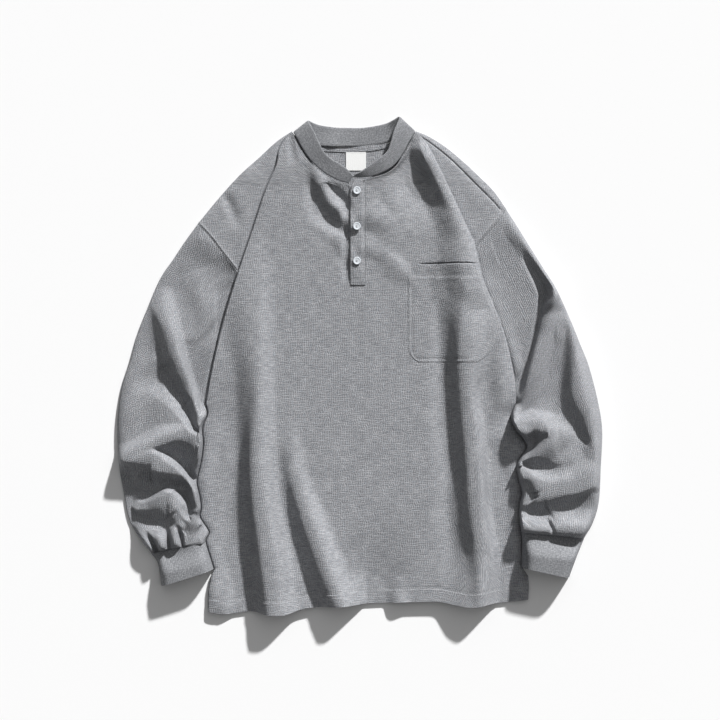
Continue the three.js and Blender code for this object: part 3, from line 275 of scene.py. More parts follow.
# %% Folds
BODY_FOLDS = {
    "left_hem_crest": [(-126, -379, 22, 48, 38), (-131, -279, 24, 60, 28), (-144, -190, 23, 50, 25), (-153, -109, 20, 32, 30),
        (-150, -18, 16, 40, 24), (-152, 47, 11, 52, 28), (-157, 117, 6, 66, 34), (-160, 185, 0, 60, 30)],
    "left_trough": [(-156, -369, -13, 80, 20), (-163, -286, -12.5, 72, 16), (-175, -208, -9, 39, 18), (-174, -134, -5, 27, 11),
        (-172, -66, -2.5, 50, 20), (-165, -5, 0, 50, 22)],
    "left_side_hollow": [(-205, -359, 3.5, 18, 27), (-206, -248, -5, 42, 20), (-206, -152, -5, 30, 35), (-202, -80, -4, 40, 25),
        (-198, -20, 0, 30, 25)],
    "slanted_crest": [(-16, -377, 24, 34, 28), (-45, -308, 20, 40, 28), (-66, -245, 14.5, 44, 24), (-91, -176, 8, 36, 20),
        (-101, -123, 3, 24, 18), (-108, -80, 0, 20, 18)],
    "slanted_trough": [(-59, -372, -3.5, 56, 15), (-76, -299, -5.5, 60, 12), (-96, -236, -8, 50, 10), (-114, -170, -4.5, 40, 12),
        (-122, -110, 0, 30, 10)],
    "middle_hollow": [(24, -376, -13, 45, 38), (26, -317, -9, 80, 64), (50, -258, -2.5, 80, 50), (60, -215, 0, 70, 50)],
    "pocket_crest": [(164, -377, 24, 50, 46), (190, -293, 19, 60, 24), (178, -212, 23, 51, 20), (171, -106, 22, 49, 19),
        (164, -42, 20, 46, 15), (160, 12, 20, 45, 40), (154, 67, 18, 40, 60), (149, 118, 12, 46, 50), (142, 160, 5, 46, 40),
        (138, 190, 0, 40, 36)],
    "pocket_trough": [(134, 150, 0, 34, 12), (131, 100, -4, 24, 24), (130, 20, -6.5, 17, 30), (139, -76, -9, 12, 40),
        (146, -157, -8.5, 14, 37), (150, -221, -6, 16, 44), (158, -300, -6, 20, 44), (163, -375, -6, 22, 44)],
    "shoulder_crest": [(186, 85, 0, 40, 14), (181, 124, 12.5, 56, 14), (166, 170, 16, 55, 15), (153, 220, 16.5, 46, 11),
        (133, 264, 15.5, 46, 36), (116, 297, 15.5, 32, 50), (91, 333, 17, 25, 8), (84, 350, 12, 20, 8)],
    "shoulder_trough": [(80, 329, -5, 11, 50), (87, 305, -10.5, 11, 56), (93, 279, -13, 18, 60), (108, 249, -8.5, 20, 60),
        (128, 222, 0, 16, 60)],
    "placket_fold": [(-12, 200, 0, 16, 16), (-22, 214, 4.5, 17, 18), (-32, 230, 8, 18, 18), (-50, 257, 10, 21, 13),
        (-60, 283, 7, 28, 15), (-75, 302, 2.5, 30, 30)],
    "placket_hollow": [(-20, 200, -4, 11, 9), (-40, 214, -6, 19, 26), (-60, 238, -5.5, 28, 22), (-73, 270, -4.5, 14, 13),
        (-80, 301, 0, 15, 11)],
    "right_side_hollow": [(214, -345, -12, 39, 36), (212, -241, -12, 44, 26), (214, -160, -9, 32, 28), (214, -110, 0, 28, 28)],
    "right_side_crest": [(214, -90, 0, 22, 36), (213, -40, 6, 22, 40), (211, 0, 5, 20, 36), (207, 45, 2, 18, 34),
        (200, 90, 0, 14, 30)],
}
LEFT_SLEEVE_FOLDS = {
    "upper_ridge": [(-293, 119, 1, 12, 15), (-290, 79, 10, 22, 30), (-278, 43, 15, 16, 38), (-271, 19, 16.5, 14, 32),
        (-259, -12, 17.5, 9, 31), (-248, -45, 17.5, 8, 20), (-239, -72, 18, 8, 20), (-239, -83, 17.5, 70, 19)],
    "upper_trough": [(-317, 83, -3.5, 10, 70), (-305, 33, -6, 22, 70), (-304, -3, -5.5, 12, 57),
        (-296, -12, -6, 26, 44), (-280, -39, -6.5, 18, 24), (-258, -70, -9.5, 19, 14), (-248, -93, -13, 8, 8)],
    "elbow_edge": [(-310, 7, 1, 44, 8), (-304, -23, -4, 16, 70), (-291, -40, 3.5, 8, 48), (-264, -77, 7.5, 11, 61),
        (-248, -100, 17.5, 8, 42), (-223, -124, 24, 13, 49)],
    "elbow_crest": [(-261, -95, 4.5, 70, 12), (-295, -109, 15.5, 38, 24), (-322, -119, 18, 56, 17),
        (-355, -140, 23, 14, 23)],
    "elbow_trough": [(-311, -127, -0.5, 8, 22), (-294, -126, -8, 10, 19), (-265, -141, -9, 48, 16),
        (-253, -156, -11, 8, 19), (-242, -176, -13, 8, 9)],
    "forearm_edge": [(-354, -150, 0, 8, 30), (-332, -140, 4, 8, 40), (-310, -131, 11, 8, 48), (-288, -143, 21.5, 12, 48),
        (-271, -155, 19.5, 8, 33), (-253, -174, 20, 8, 9), (-236, -210, 22, 8, 15)],
    "forearm_trough": [(-348, -176, -14, 26, 34), (-331, -198, -13, 60, 30), (-311, -177, -12, 27, 24),
        (-279, -171, -12.5, 12, 10), (-261, -179, -10, 21, 28), (-261, -195, -10, 8, 24), (-254, -219, -13, 8, 12)],
    "lower_fold": [(-349, -209, -9.5, 29, 50), (-325, -206, 6.5, 8, 22), (-300, -196, 13.5, 8, 41),
        (-284, -189, 16, 8, 41), (-264, -204, 18, 9, 39), (-257, -217, 14.5, 14, 28), (-241, -239, 4.5, 48, 23),
        (-237, -241, -12.5, 16, 47)],
    "lower_trough": [(-354, -212, -12.5, 12, 42), (-341, -220, -12.5, 8, 46), (-315, -230, -10, 17, 26), (-294, -235, -7, 12, 22),
        (-280, -226, 4, 14, 8), (-268, -239, 6.5, 11, 16)],
    "cuff_roll": [(-340, -248, 0, 10, 10), (-328, -262, 10, 14, 12), (-314, -276, 9, 10, 8)],
    "gather_gap_one": [(-322, -246, 0, 6, 6), (-311, -260, -10, 6, 6), (-303, -277, -12, 6, 6)],
    "gather_one": [(-302, -244, 0, 9, 9), (-297, -260, 7, 10, 9), (-293, -278, 10, 9, 8)],
    "gather_gap_two": [(-290, -238, 0, 6, 6), (-286, -254, -10, 6, 5), (-284, -276, -12, 5, 5)],
    "gather_two": [(-280, -238, 0, 8, 8), (-276, -252, 7, 8, 8), (-272, -272, 9, 8, 7)],
    "gather_gap_three": [(-272, -236, 0, 5, 5), (-267, -250, -8, 5, 5), (-264, -270, -10, 5, 5)],
    "shoulder_dent": [(-235, 190, 2.5, 34, 15), (-235, 176, 0, 70, 27), (-229, 150, -5, 28, 45),
        (-202, 136, -7, 68, 70)],
    "top_dent": [(-287, 150, -6, 70, 20), (-284, 127, -8, 58, 55), (-265, 94, -4.5, 31, 64), (-256, 40, 0, 30, 50)],
    "inner_lift": [(-212, 125, 0, 50, 9), (-214, 65, -6, 62, 9), (-215, 21, -4, 8, 68), (-247, -32, -10.5, 52, 38)],
}
RIGHT_SLEEVE_FOLDS = {
    "arm_crest": [(306, 84, 0, 50, 60), (302, 99, 8.5, 50, 50), (290, 121, 17, 18, 14), (256, 172, 14, 20, 12),
        (240, 206, 9, 27, 24), (222, 226, 3, 22, 12), (214, 232, 0, 18, 10)],
    "arm_edge": [(301, 125, 16, 10, 40), (288, 96, 12, 12, 20), (280, 68, 11, 14, 18), (270, 40, 10, 20, 13),
        (260, 8, 10, 26, 11), (252, -22, 10, 30, 11), (244, -48, 10, 22, 11), (228, -71, 14, 12, 40)],
    "arm_trough": [(224, 215, 0, 12, 12), (242, 183, -3.5, 12, 12), (260, 146, -9.5, 13, 13), (276, 114, -12, 14, 14),
        (272, 95, -11, 9, 8), (265, 68, -10, 6, 5), (255, 24, -10, 5, 4), (243, -15, -10.5, 6, 8), (231, -34, -11.5, 13, 40)],
    "inner_band": [(213, 138, -4.5, 70, 37), (236, 70, -5.5, 70, 40), (244, 7, -8, 9, 18), (240, -34, 0, 8, 12)],
    "outer_trough": [(318, 69, 5, 70, 17), (314, 24, -0.5, 16, 8), (304, -26, -4.5, 12, 17), (299, -65, -8, 29, 33),
        (320, -86, -4, 17, 17), (338, -113, -3.5, 8, 8)],
    "outer_crest": [(324, 70, 11, 8, 14), (321, 17, 13, 15, 20), (331, -42, 13, 26, 35), (343, -80, 10, 19, 27),
        (350, -123, 4.5, 8, 22)],
    "elbow_roll": [(216, -91, 20, 16, 44), (259, -84, 21.5, 22, 30), (279, -77, 9, 10, 59), (300, -86, 0, 12, 27),
        (323, -104, -4.5, 15, 38)],
    "elbow_trough": [(241, -94, 11.5, 8, 70), (253, -107, -5, 17, 39), (275, -103, -9, 13, 10),
        (279, -102, 0.5, 29, 18)],
    "second_roll": [(239, -142, 5.5, 8, 9), (252, -137, 8, 8, 20), (266, -121, 12.5, 8, 33),
        (281, -109, 14.5, 40, 36), (297, -104, 7.5, 24, 28)],
    "second_trough": [(245, -148, -10, 8, 21), (262, -145, -8, 11, 21), (285, -154, -7, 12, 38),
        (304, -156, -1.5, 17, 35)],
    "third_roll": [(239, -150, 10.5, 9, 17), (269, -169, 9, 9, 28), (307, -176, 11.5, 23, 40),
        (342, -164, 12, 36, 61), (367, -154, 9.5, 70, 63)],
    "dark_tail": [(235, -152, -4.5, 68, 70), (252, -167, 1.5, 10, 8), (273, -187, 10, 60, 36),
        (269, -192, 12, 24, 11)],
    "third_trough": [(246, -217, -9, 12, 11), (274, -221, -12.5, 26, 23), (302, -210, -13, 25, 38),
        (324, -200, -13, 13, 63), (348, -190, -6.5, 12, 70)],
    "inner_cuff_roll": [(236, -231, 21.5, 8, 32), (251, -246, 18, 9, 8), (265, -247, 8, 8, 40),
        (286, -247, 3, 8, 30)],
    "outer_cuff_roll": [(288, -236, 0, 20, 16), (302, -244, 10, 22, 12), (320, -247, 13, 24, 12), (336, -238, 9, 20, 12),
        (348, -214, 0, 16, 12)],
    "cuff_gap": [(276, -226, 0, 5, 5), (284, -238, -10, 5, 5), (288, -252, -8, 5, 5)],
    "upper_mid": [(292, 25, -3, 25, 48), (290, -23, -6.5, 20, 70), (268, -61, -8, 37, 70)],
}
BODY_CREASES = {
    "placket_side_hollow": [(-20, 210, 0, 8, 8), (-22, 230, -6.5, 8, 8), (-25, 245, -6.5, 15, 14), (-42, 264, -5.5, 30, 10),
        (-48, 276, 0, 19, 8)],
    "collar_hollow": [(-98, 300, 0, 12, 9), (-101, 318, -3.5, 10, 8), (-104, 335, -6.5, 8, 8), (-110, 348, -5, 8, 8)],
    "hem_middle_crest": [(56, -380, 8, 22, 20), (57, -350, 5.5, 22, 20), (60, -312, 0, 20, 20)],
    "placket_left_dip": [(-21, 124, 0, 8, 6), (-21, 136, -3, 8, 6), (-21, 196, -3.5, 8, 6), (-21, 212, -2, 8, 8)],
    "placket_drag_high": [(2, 238, 0, 30, 24), (14, 226, 4.5, 30, 26), (34, 215, 4, 24, 26), (46, 199, 1.5, 24, 28),
        (54, 175, 0, 24, 20)],
    "placket_drag_low": [(-4, 182, 0, 24, 16), (10, 176, 2.5, 28, 18), (32, 167, 2, 18, 15), (52, 155, 3, 14, 28),
        (66, 140, 3, 14, 28), (74, 120, 0, 14, 24)],
    "pocket_mouth": [(86, 152, 0, 1.6, 1.6), (108, 153.2, -4, 1.6, 1.6), (150, 154, -4, 1.6, 1.6), (174, 152.4, -2, 1.4, 1.4)],
    "left_chest_drag": [(-46, 200, 0, 13, 13), (-32, 186, 2, 14, 14), (-20, 168, 2, 15, 14), (-13, 150, 0, 14, 12)],
}

# %% [markdown]
# The front is one panel. Its middle lies high on the layers under it, its sides run down to the seams, and
# along the shoulders it drops in one crisp step to the lower layer, which is the edge where the body folds
# over the arm.

# %% Height of the front
CLIFF_LEFT = 0.72
CLIFF_RIGHT = 0.5
CLIFF_WIDTH = 1.8
FOLD_STEP = 2.0


def seam_top(y):
    return EDGE_TOP + (SHOULDER_TOP - EDGE_TOP) * ease(-60, 50, y)


def front_form(x, y, creases=True):
    outer = np.minimum(nearest(x, y, smooth_rows(LEFT_SHOULDER, 4))[0], nearest(x, y, smooth_rows(RIGHT_SHOULDER, 4))[0])
    shoulder = EDGE_TOP + (SHOULDER_TOP - EDGE_TOP) * rise(outer, 9)
    from_left, from_right = x - body_left(y), body_right(y) - x
    top = np.maximum(ease(352, 300, y), 0.25)
    folds = fold_height(x, y, BODY_FOLDS)
    if creases:
        folds = folds + fold_height(x, y, BODY_CREASES)
    body = mix(SHOULDER_TOP, settled_height(BODY_TOP + folds), top)
    left = from_left < from_right
    near = np.where(left, from_left, from_right)
    reach = np.where(left, mix(8.0, 16.0, ease(-90, -40, y)), 12.0)
    tip = np.where(left, LEFT_TIP_Y, RIGHT_TIP_Y)
    cliff = np.where(left, mix(0.3, CLIFF_LEFT, ease(-90, -40, y)), CLIFF_RIGHT * (1 - ease(-30, -80, y)))
    base = np.where(y > tip, shoulder, seam_top(y))
    body = body + np.where(left, FOLD_STEP * np.exp(-near / 30) * ease(-100, 20, y) * ease(345, 300, y), 0)
    climb = cliff * ease(0, CLIFF_WIDTH, near) + (1 - cliff) * rise(near, reach)
    start = np.where(left, ease(330, 290, y), ease(350, 320, y))
    inside = mix(base, body, climb * start + (1 - start) * rise(near + 20, reach))
    beyond = ((from_left <= 0) & (y > LEFT_TIP_Y)) | ((from_right <= 0) & (y > RIGHT_TIP_Y))
    return np.maximum(np.where(beyond, shoulder, inside), EDGE_TOP)


# %% [markdown]
# Sewing shows as narrow lines in the cloth: the turned hem with its stitched line, the shoulder seam, the
# dip at each armhole, and the tight crease where the body folds over the arm.
# Each is a small drop in height with its own width, laid over the large form.

# %% Seam lines of the front
HEM_BAND = 20
HEM_FOLD_LIFT = 0.5
SHOULDER_SEAM = [(90, 343), (100, 337), (120, 322), (140, 305), (160, 285), (180, 265), (200, 245), (211, 232), (219, 224)]
shoulder_seam_line = smooth_rows(SHOULDER_SEAM, 4)
left_fold_line = smooth_rows([row for row in LEFT_FOLD if row[1] > -60], 6)
right_fold_line = smooth_rows([row for row in RIGHT_FOLD if row[1] > -60], 6)
armhole_lines = [smooth_rows(LEFT_ARMHOLE, 6), smooth_rows(RIGHT_ARMHOLE, 6)]
NECK_RIDGES = ((1.3, 6.0), (0.6, 4.0))
LEFT_NECK_SEAM = [(-17, 271, 13.5), (-34, 275.6, 14), (-51.5, 284.8, 13.5), (-67, 297, 12.5), (-79.5, 310.5, 11.5), (-89.5, 325.5, 10),
                  (-96.5, 339, 8)]
RIGHT_NECK_SEAM = [(8.3, 280, 14.5), (34, 286, 14), (49, 294.5, 13.5), (60.8, 308.5, 12.5), (69.8, 323.5, 11.5), (77.5, 340, 9)]
neck_lines = [smooth_rows(LEFT_NECK_SEAM, 5), smooth_rows(RIGHT_NECK_SEAM, 5)]


def dip(distance, depth, width):
    return -depth * np.exp(-(distance / width) ** 2)


def hem_detail(x, y):
    up = y - hem_y(x)
    pucker = np.sin(x * 0.72 + 2.2 * np.sin(x / 19)) * (0.25 + 0.2 * np.sin(x / 31))
    band = HEM_FOLD_LIFT * (1 - ease(HEM_BAND - 1.2, HEM_BAND + 0.6, up))
    return dip(up - HEM_BAND, 0.5, 1.8) + band + pucker * np.exp(-((up - HEM_BAND + 3) / 7) ** 2)


SHOULDER_CREASES = {
    "left_shoulder_streak": [(-206, 262, 0, 10, 10), (-198, 247, -3.5, 11, 9), (-190, 228, -4, 11, 9), (-180, 204, 0, 8, 8)],
}


def front_top(x, y, creases=True):
    height = front_form(x, y, creases) + fold_height(x, y, SHOULDER_CREASES)
    outside_left = (x < body_left(y)) & (y > LEFT_TIP_Y)
    outside_right = (x > body_right(y)) & (y > RIGHT_TIP_Y)
    to_left = nearest(x, y, left_fold_line)[0]
    to_right = nearest(x, y, right_fold_line)[0]
    height = height + np.where(outside_left, dip(to_left, 4.5, 2.0) * (1 - ease(338, 351, y)), 0)
    height = height + np.where(outside_right, dip(to_right, 0.4, 2.2) * (1 - ease(338, 351, y)), 0)
    for line in armhole_lines:
        height = height + dip(nearest(x, y, line)[0], 0.3, 1.2) + dip(nearest(x, y, line)[0] - 3, -0.7, 1.6)
    height = height + np.where(outside_right, dip(nearest(x, y, shoulder_seam_line)[0], 2.2, 1.4), 0)
    height = height + np.where(y < -300, hem_detail(x, y), 0)
    for line, (lift, reach) in zip(neck_lines, NECK_RIDGES):
        far, _, row = nearest(x, y, line)
        height = mix(height, np.maximum(height, row[..., 2] + lift), np.exp(-(far / reach) ** 2))
    return np.maximum(height, EDGE_TOP)


# %% [markdown]
# Cloth is built as a wall: an upper side, a lower side a cloth's thickness under it, and a rim round every
# free edge. The steeper the slope, the more the wall measures straight down, so it keeps its real thickness.
# Each corner also carries its place on the flat cloth, measured along the surface, for the knit to follow.

# %% Wall builder
STEEPEST_WALL = 1.8


def wall_depth(height_at, x, y):
    step = 1.5
    slope_x = (height_at(x + step, y) - height_at(x - step, y)) / (2 * step)
    slope_y = (height_at(x, y + step) - height_at(x, y - step)) / (2 * step)
    return CLOTH * np.minimum(np.sqrt(1 + slope_x ** 2 + slope_y ** 2), STEEPEST_WALL)


class ClothMesh:
    """Collects sheets of points and the faces between them, and makes one closed mesh."""

    def __init__(self):
        self.points, self.flat, self.faces, self.count = [], [], [], 0

    def sheet(self, points, flat):
        start = self.count
        self.points.append(points.reshape(-1, 3))
        self.flat.append(flat.reshape(-1, 2))
        self.count += points[..., 0].size
        return start + np.arange(points[..., 0].size).reshape(points.shape[:-1])

    def quads(self, ids, keep=None, up=True):
        a, b, c, d = ids[:-1, :-1], ids[:-1, 1:], ids[1:, 1:], ids[1:, :-1]
        faces = np.stack([a, b, c, d] if up else [a, d, c, b], axis=-1)
        self.faces.append(faces[keep] if keep is not None else faces.reshape(-1, 4))

    def strip(self, one, two, flip=False):
        faces = np.stack([one[:-1], two[:-1], two[1:], one[1:]], axis=-1)
        self.faces.append(faces[:, ::-1] if flip else faces)

    def make(self, name, sharp=50):
        points = (np.vstack(self.points) - np.array([MIDDLE[0], MIDDLE[1], 0])) * MM
        mesh = bpy.data.meshes.new(name)
        mesh.from_pydata(points.tolist(), [], np.vstack(self.faces).tolist())
        layer = mesh.uv_layers.new(name="flat_cloth")
        loops = np.zeros(len(mesh.loops), int)
        mesh.loops.foreach_get("vertex_index", loops)
        layer.data.foreach_set("uv", (np.vstack(self.flat)[loops] / 100).ravel())
        tidy = bmesh.new()
        tidy.from_mesh(mesh)
        bmesh.ops.remove_doubles(tidy, verts=tidy.verts, dist=1e-6)
        bmesh.ops.dissolve_degenerate(tidy, edges=tidy.edges, dist=1e-7)
        bmesh.ops.recalc_face_normals(tidy, faces=tidy.faces)
        tidy.to_mesh(mesh)
        open_edges = sum(1 for e in tidy.edges if len(e.link_faces) != 2)
        surface = sum(face.calc_area() for face in tidy.faces)
        tidy.free()
        mesh.polygons.foreach_set("use_smooth", [True] * len(mesh.polygons))
        mesh.set_sharp_from_angle(angle=math.radians(sharp))
        piece = bpy.data.objects.new(name, mesh)
        bpy.context.scene.collection.objects.link(piece)
        print(name, "faces", len(mesh.polygons), "open edges", open_edges, "half surface m2", round(surface / 2, 4),
              "flat span mm", np.ptp(np.vstack(self.flat), axis=0).round())
        return piece


# %% [markdown]
# The front's points lie in rows across the body. Each row is split at the placket slot, and runs from the side
# or the armhole to the slot or the neckline. Rows that end at a corner shrink to a point there.

# %% Grid of the front
OUTLINE_STEPS = np.array([0, 0.5, 1.2, 2.2, 3.5, 5, 6.5, 8, 9.5, 11, 12.3, 13.6, 14.9, 16.2, 17.5, 19])
FOLD_STEPS = np.array([5.5, 4, 2.8, 1.8, 0.9])
SHOULDER_COLUMNS = 10
EDGE_STEPS = np.array([0, 0.6, 1.2, 1.9, 3, 5, 8, 11.5])
BODY_COLUMNS = 50
ROW_BANDS = [(-360, -335, 1.6), (-335, -316, 2.4), (-316, -304, 2.6), (-304, -299, 2.5), (-299, -263, 3.2), (-263, -55, 3.5),
             (-55, SLOT_BOTTOM, 3.6), (SLOT_BOTTOM, LEFT_TIP_Y, 3.2), (LEFT_TIP_Y, 149, 3), (149, 157, 0.7), (157, 159, 1),
             (159, RIGHT_TIP_Y, 3.2), (RIGHT_TIP_Y, LEFT_POINT_Y, 3.2), (LEFT_POINT_Y, RIGHT_POINT_Y, 3),
             (RIGHT_POINT_Y, SLOT_TOP_LEFT, 3), (SLOT_TOP_LEFT, SLOT_TOP_RIGHT, 3), (SLOT_TOP_RIGHT, SHOULDER_Y, 3)]


def fine_rows(bands):
    rows = [bands[0][0]]
    for low, high, step in bands:
        count = max(int(round((high - low) / step)), 1)
        rows += [low + (high - low) * k / count for k in range(1, count + 1)]
    return np.array(rows)


def half_rows(edge, fold, inner):
    span = np.abs(fold - edge)[:, None]
    total = len(OUTLINE_STEPS) + SHOULDER_COLUMNS + len(FOLD_STEPS)
    near_edge = np.minimum(OUTLINE_STEPS, span * np.arange(len(OUTLINE_STEPS)) / total)
    near_fold = span - np.minimum(FOLD_STEPS, span * np.arange(len(FOLD_STEPS), 0, -1) / total)
    shares = np.linspace(0, 1, SHOULDER_COLUMNS + 2)[1:-1]
    between = near_edge[:, -1:] + (near_fold[:, :1] - near_edge[:, -1:]) * shares
    shoulder = edge[:, None] + np.sign(fold - edge)[:, None] * np.hstack([near_edge, between, near_fold])
    width = np.abs(inner - fold)[:, None]
    total = len(EDGE_STEPS) - 1 + BODY_COLUMNS
    steps = np.minimum(EDGE_STEPS, width * np.arange(len(EDGE_STEPS)) / total)
    rest = steps[:, -1:] + (width - steps[:, -1:]) * np.arange(1, BODY_COLUMNS + 1) / BODY_COLUMNS
    towards = np.sign(inner - fold)[:, None]
    return np.hstack([shoulder, fold[:, None] + towards * np.hstack([steps, rest])])


row_y = fine_rows(ROW_BANDS)
left_start = np.where(row_y > LEFT_TIP_Y, left_fold_x(row_y), panel_left(row_y))
right_start = np.where(row_y > RIGHT_TIP_Y, right_fold_x(row_y), panel_right(row_y))
left_end = np.where(row_y > SLOT_TOP_LEFT, x_of(LEFT_NECK)(row_y), SLOT_LEFT)
right_end = np.where(row_y > SLOT_TOP_RIGHT, x_of(RIGHT_NECK)(row_y), SLOT_RIGHT)
left_half = half_rows(panel_left(row_y), left_start, left_end)
right_half = half_rows(panel_right(row_y), right_start, right_end)[:, ::-1]
front_x = np.hstack([left_half, right_half])
hem_share = np.maximum(1 - (row_y - HEM_ROW) / HEM_REACH, 0)[:, None]
front_y = row_y[:, None] + (hem_y(front_x) - HEM_ROW) * hem_share
slot_column = left_half.shape[1] - 1
front_z = front_top(front_x, front_y)
print("front grid", front_x.shape, "highest", round(front_z.max(), 1))


# %% [markdown]
# A knit follows the cloth, not the table, so its coordinates are lengths along the surface.

# %% Flat coordinates
def along(values, axis, start):
    steps = np.sqrt(sum(np.diff(v, axis=axis) ** 2 for v in values))
    total = np.cumsum(steps, axis=axis)
    pad = [(0, 0), (0, 0)]
    pad[axis] = (1, 0)
    total = np.pad(total, pad)
    return total - np.take(total, [start], axis=axis)


front_flat = np.stack([along([front_x, front_z], 1, slot_column), along([front_y, front_z], 0, len(row_y) // 2)], axis=-1)

# %% Front panel
front = ClothMesh()
front_under = np.maximum(front_z - wall_depth(lambda x, y: front_top(x, y), front_x, front_y), CLOTH + SEAM_GAP)
is_slot = np.zeros((front_x.shape[0] - 1, front_x.shape[1] - 1), bool)
is_slot[row_y[:-1] >= SLOT_BOTTOM - 0.5, slot_column] = True
real = (np.abs(np.diff(front_x, axis=1))[:-1] + np.abs(np.diff(front_x, axis=1))[1:]) > 0.02
cells = ~is_slot & real
upper = front.sheet(np.dstack([front_x, front_y, front_z]), front_flat)
lower = front.sheet(np.dstack([front_x, front_y, front_under]), front_flat)
front.quads(upper, cells, True)
front.quads(lower, cells, False)


def rims(cloth, upper, lower, cells):
    """Adds the rim faces round a kept set of cells."""
    wide = np.pad(cells, 1)
    one, two = [], []
    below = cells & ~wide[:-2, 1:-1]
    above = cells & ~wide[2:, 1:-1]
    before = cells & ~wide[1:-1, :-2]
    after = cells & ~wide[1:-1, 2:]
    for where, (p, q) in ((below, ((0, 0), (0, 1))), (above, ((1, 1), (1, 0))),
                          (before, ((1, 0), (0, 0))), (after, ((0, 1), (1, 1)))):
        i, j = np.nonzero(where)
        a, b = (i + p[0], j + p[1]), (i + q[0], j + q[1])
        cloth.faces.append(np.stack([upper[a], lower[a], lower[b], upper[b]], axis=-1))


rims(front, upper, lower, cells)
front_piece = front.make("front_cloth")

# %% [markdown]
# The back is one flat panel that lies on the table. Only a crescent of it shows, inside the neck.
# Its rows run out to the same side edges as the front, and its neckline dips less.

# %% Back panel
BACK_COLUMNS = 24
BACK_HEM_SHORT = 2
NECK_DIP = BACK_NECK[4][1]
LEFT_BACK_NECK, RIGHT_BACK_NECK = BACK_NECK[:5], BACK_NECK[4:]
LOWEST_NECK_X = BACK_NECK[4][0]

back_marks = [-360, -316, -304, -299, -263, -55, 140, 178, 213, 235, NECK_DIP, SHOULDER_Y]
back_y = fine_rows([(low, high, 6 if low >= NECK_DIP else 9) for low, high in zip(back_marks[:-1], back_marks[1:])])
back_left = panel_left(back_y)
back_right = panel_right(back_y)
NECK_GAP = 0.6
left_end = np.where(back_y > NECK_DIP, x_of(LEFT_BACK_NECK)(back_y), LOWEST_NECK_X - NECK_GAP)
right_end = np.where(back_y > NECK_DIP, x_of(RIGHT_BACK_NECK)(back_y), LOWEST_NECK_X + NECK_GAP)
shares = np.linspace(0, 1, BACK_COLUMNS + 1)
back_x = np.hstack([back_left[:, None] + (left_end - back_left)[:, None] * shares,
                    right_end[:, None] + (back_right - right_end)[:, None] * shares])
back_share = np.maximum(1 - (back_y - HEM_ROW) / HEM_REACH, 0)[:, None]
back_plan_y = back_y[:, None] + (hem_y(back_x) + BACK_HEM_SHORT - HEM_ROW) * back_share
back_flat = np.stack([back_x, back_plan_y], axis=-1)
back_cells = np.ones((back_x.shape[0] - 1, back_x.shape[1] - 1), bool)
back_cells[back_y[:-1] > NECK_DIP - 0.1, BACK_COLUMNS] = False

back = ClothMesh()
level = np.ones_like(back_x)
upper = back.sheet(np.dstack([back_x, back_plan_y, CLOTH * level]), back_flat)
lower = back.sheet(np.dstack([back_x, back_plan_y, 0 * level]), back_flat)
back.quads(upper, back_cells, True)
back.quads(lower, back_cells, False)
rims(back, upper, lower, back_cells)
back_piece = back.make("back_cloth")

# %% [markdown]
# A sleeve is a flattened tube. Its rows run from the outer edge to the edge beside the body, its underside
# lies flat, and along the armhole it stays open because the body is sewn there.

# %% Sleeve shape
LEFT_CROWN = [(-285, 28), (-255, 27), (-230, 22), (-200, 20), (-100, 16), (0, 13), (100, 12), (213, 10.5)]
RIGHT_CROWN = [(-265, 36), (-240, 34), (-220, 29), (-200, 25), (-100, 20), (0, 15), (100, 12), (235, 10.5)]
OUTER_REACH = 7
INNER_REACH = 1.3
FOLD_OUTER_REACH = 4
FOLD_INNER_REACH = 1.0
CUFF_SEAM_TOPS = (16, 25)
CUFF_EDGE_REACH = 4
CUFF_BLOUSE = 2.6
HOLE_REACH = 9
ROUND_EDGE = 2.6
LINING_INSET = 2.4
ARMHOLE_ROWS, FOLD_ROWS, ARM_ROWS = 26, 52, 124
SLEEVE_COLUMNS = 70


def along_line(line, count):
    dense = smooth_rows(line)
    length = np.concatenate([[0], np.cumsum(np.hypot(*np.diff(dense, axis=0).T))])
    at = np.linspace(0, length[-1], count + 1)
    return np.stack([np.interp(at, length, dense[:, 0]), np.interp(at, length, dense[:, 1])], axis=-1)


def moved_aside(points, distance):
    turn = np.gradient(points, axis=0)
    turn /= np.hypot(*turn.T)[:, None]
    return points + distance * np.stack([turn[:, 1], -turn[:, 0]], axis=-1)


def sleeve_height(outer, inner, folds, crown_rows, seam, hole, crease, tip):
    outer_line, inner_line, seam = smooth_rows(outer), smooth_rows(inner), np.asarray(seam, float)
    crown = reader(crown_rows, 0, 1)

    def height(x, y):
        from_outer, from_inner = nearest(x, y, outer_line)[0], nearest(x, y, inner_line)[0]
        roundness = rise(from_outer, OUTER_REACH) * rise(from_inner, INNER_REACH)
        soft = rise(from_outer, FOLD_OUTER_REACH) * rise(from_inner, FOLD_INNER_REACH)
        plain = EDGE_TOP + (crown(y) - EDGE_TOP) * roundness
        free = settled_height(plain + fold_height(x, y, folds) * soft)
        at_hole = np.minimum(seam_top(y), mix(free, plain, ease(tip - 30, tip, y)))
        to_hole = nearest(x, y, hole)[0]
        full = mix(at_hole, free, rise(to_hole, HOLE_REACH)) + dip(to_hole, crease, 2.7) * ease(tip, tip - 12, y)
        return mix(np.minimum(cuff_seam_top(x, y, seam), full), full, rise(nearest(x, y, seam)[0], CUFF_BLOUSE))
    return height


def cuff_seam_top(x, y, seam):
    """The cuff is low where the sleeve bags over it, by its outer end, and higher towards the body."""
    run = seam[1] - seam[0]
    share = ((x - seam[0][0]) * run[0] + (y - seam[0][1]) * run[1]) / float(run @ run)
    return mix(CUFF_SEAM_TOPS[0], CUFF_SEAM_TOPS[1], ease(0.2, 0.8, share))


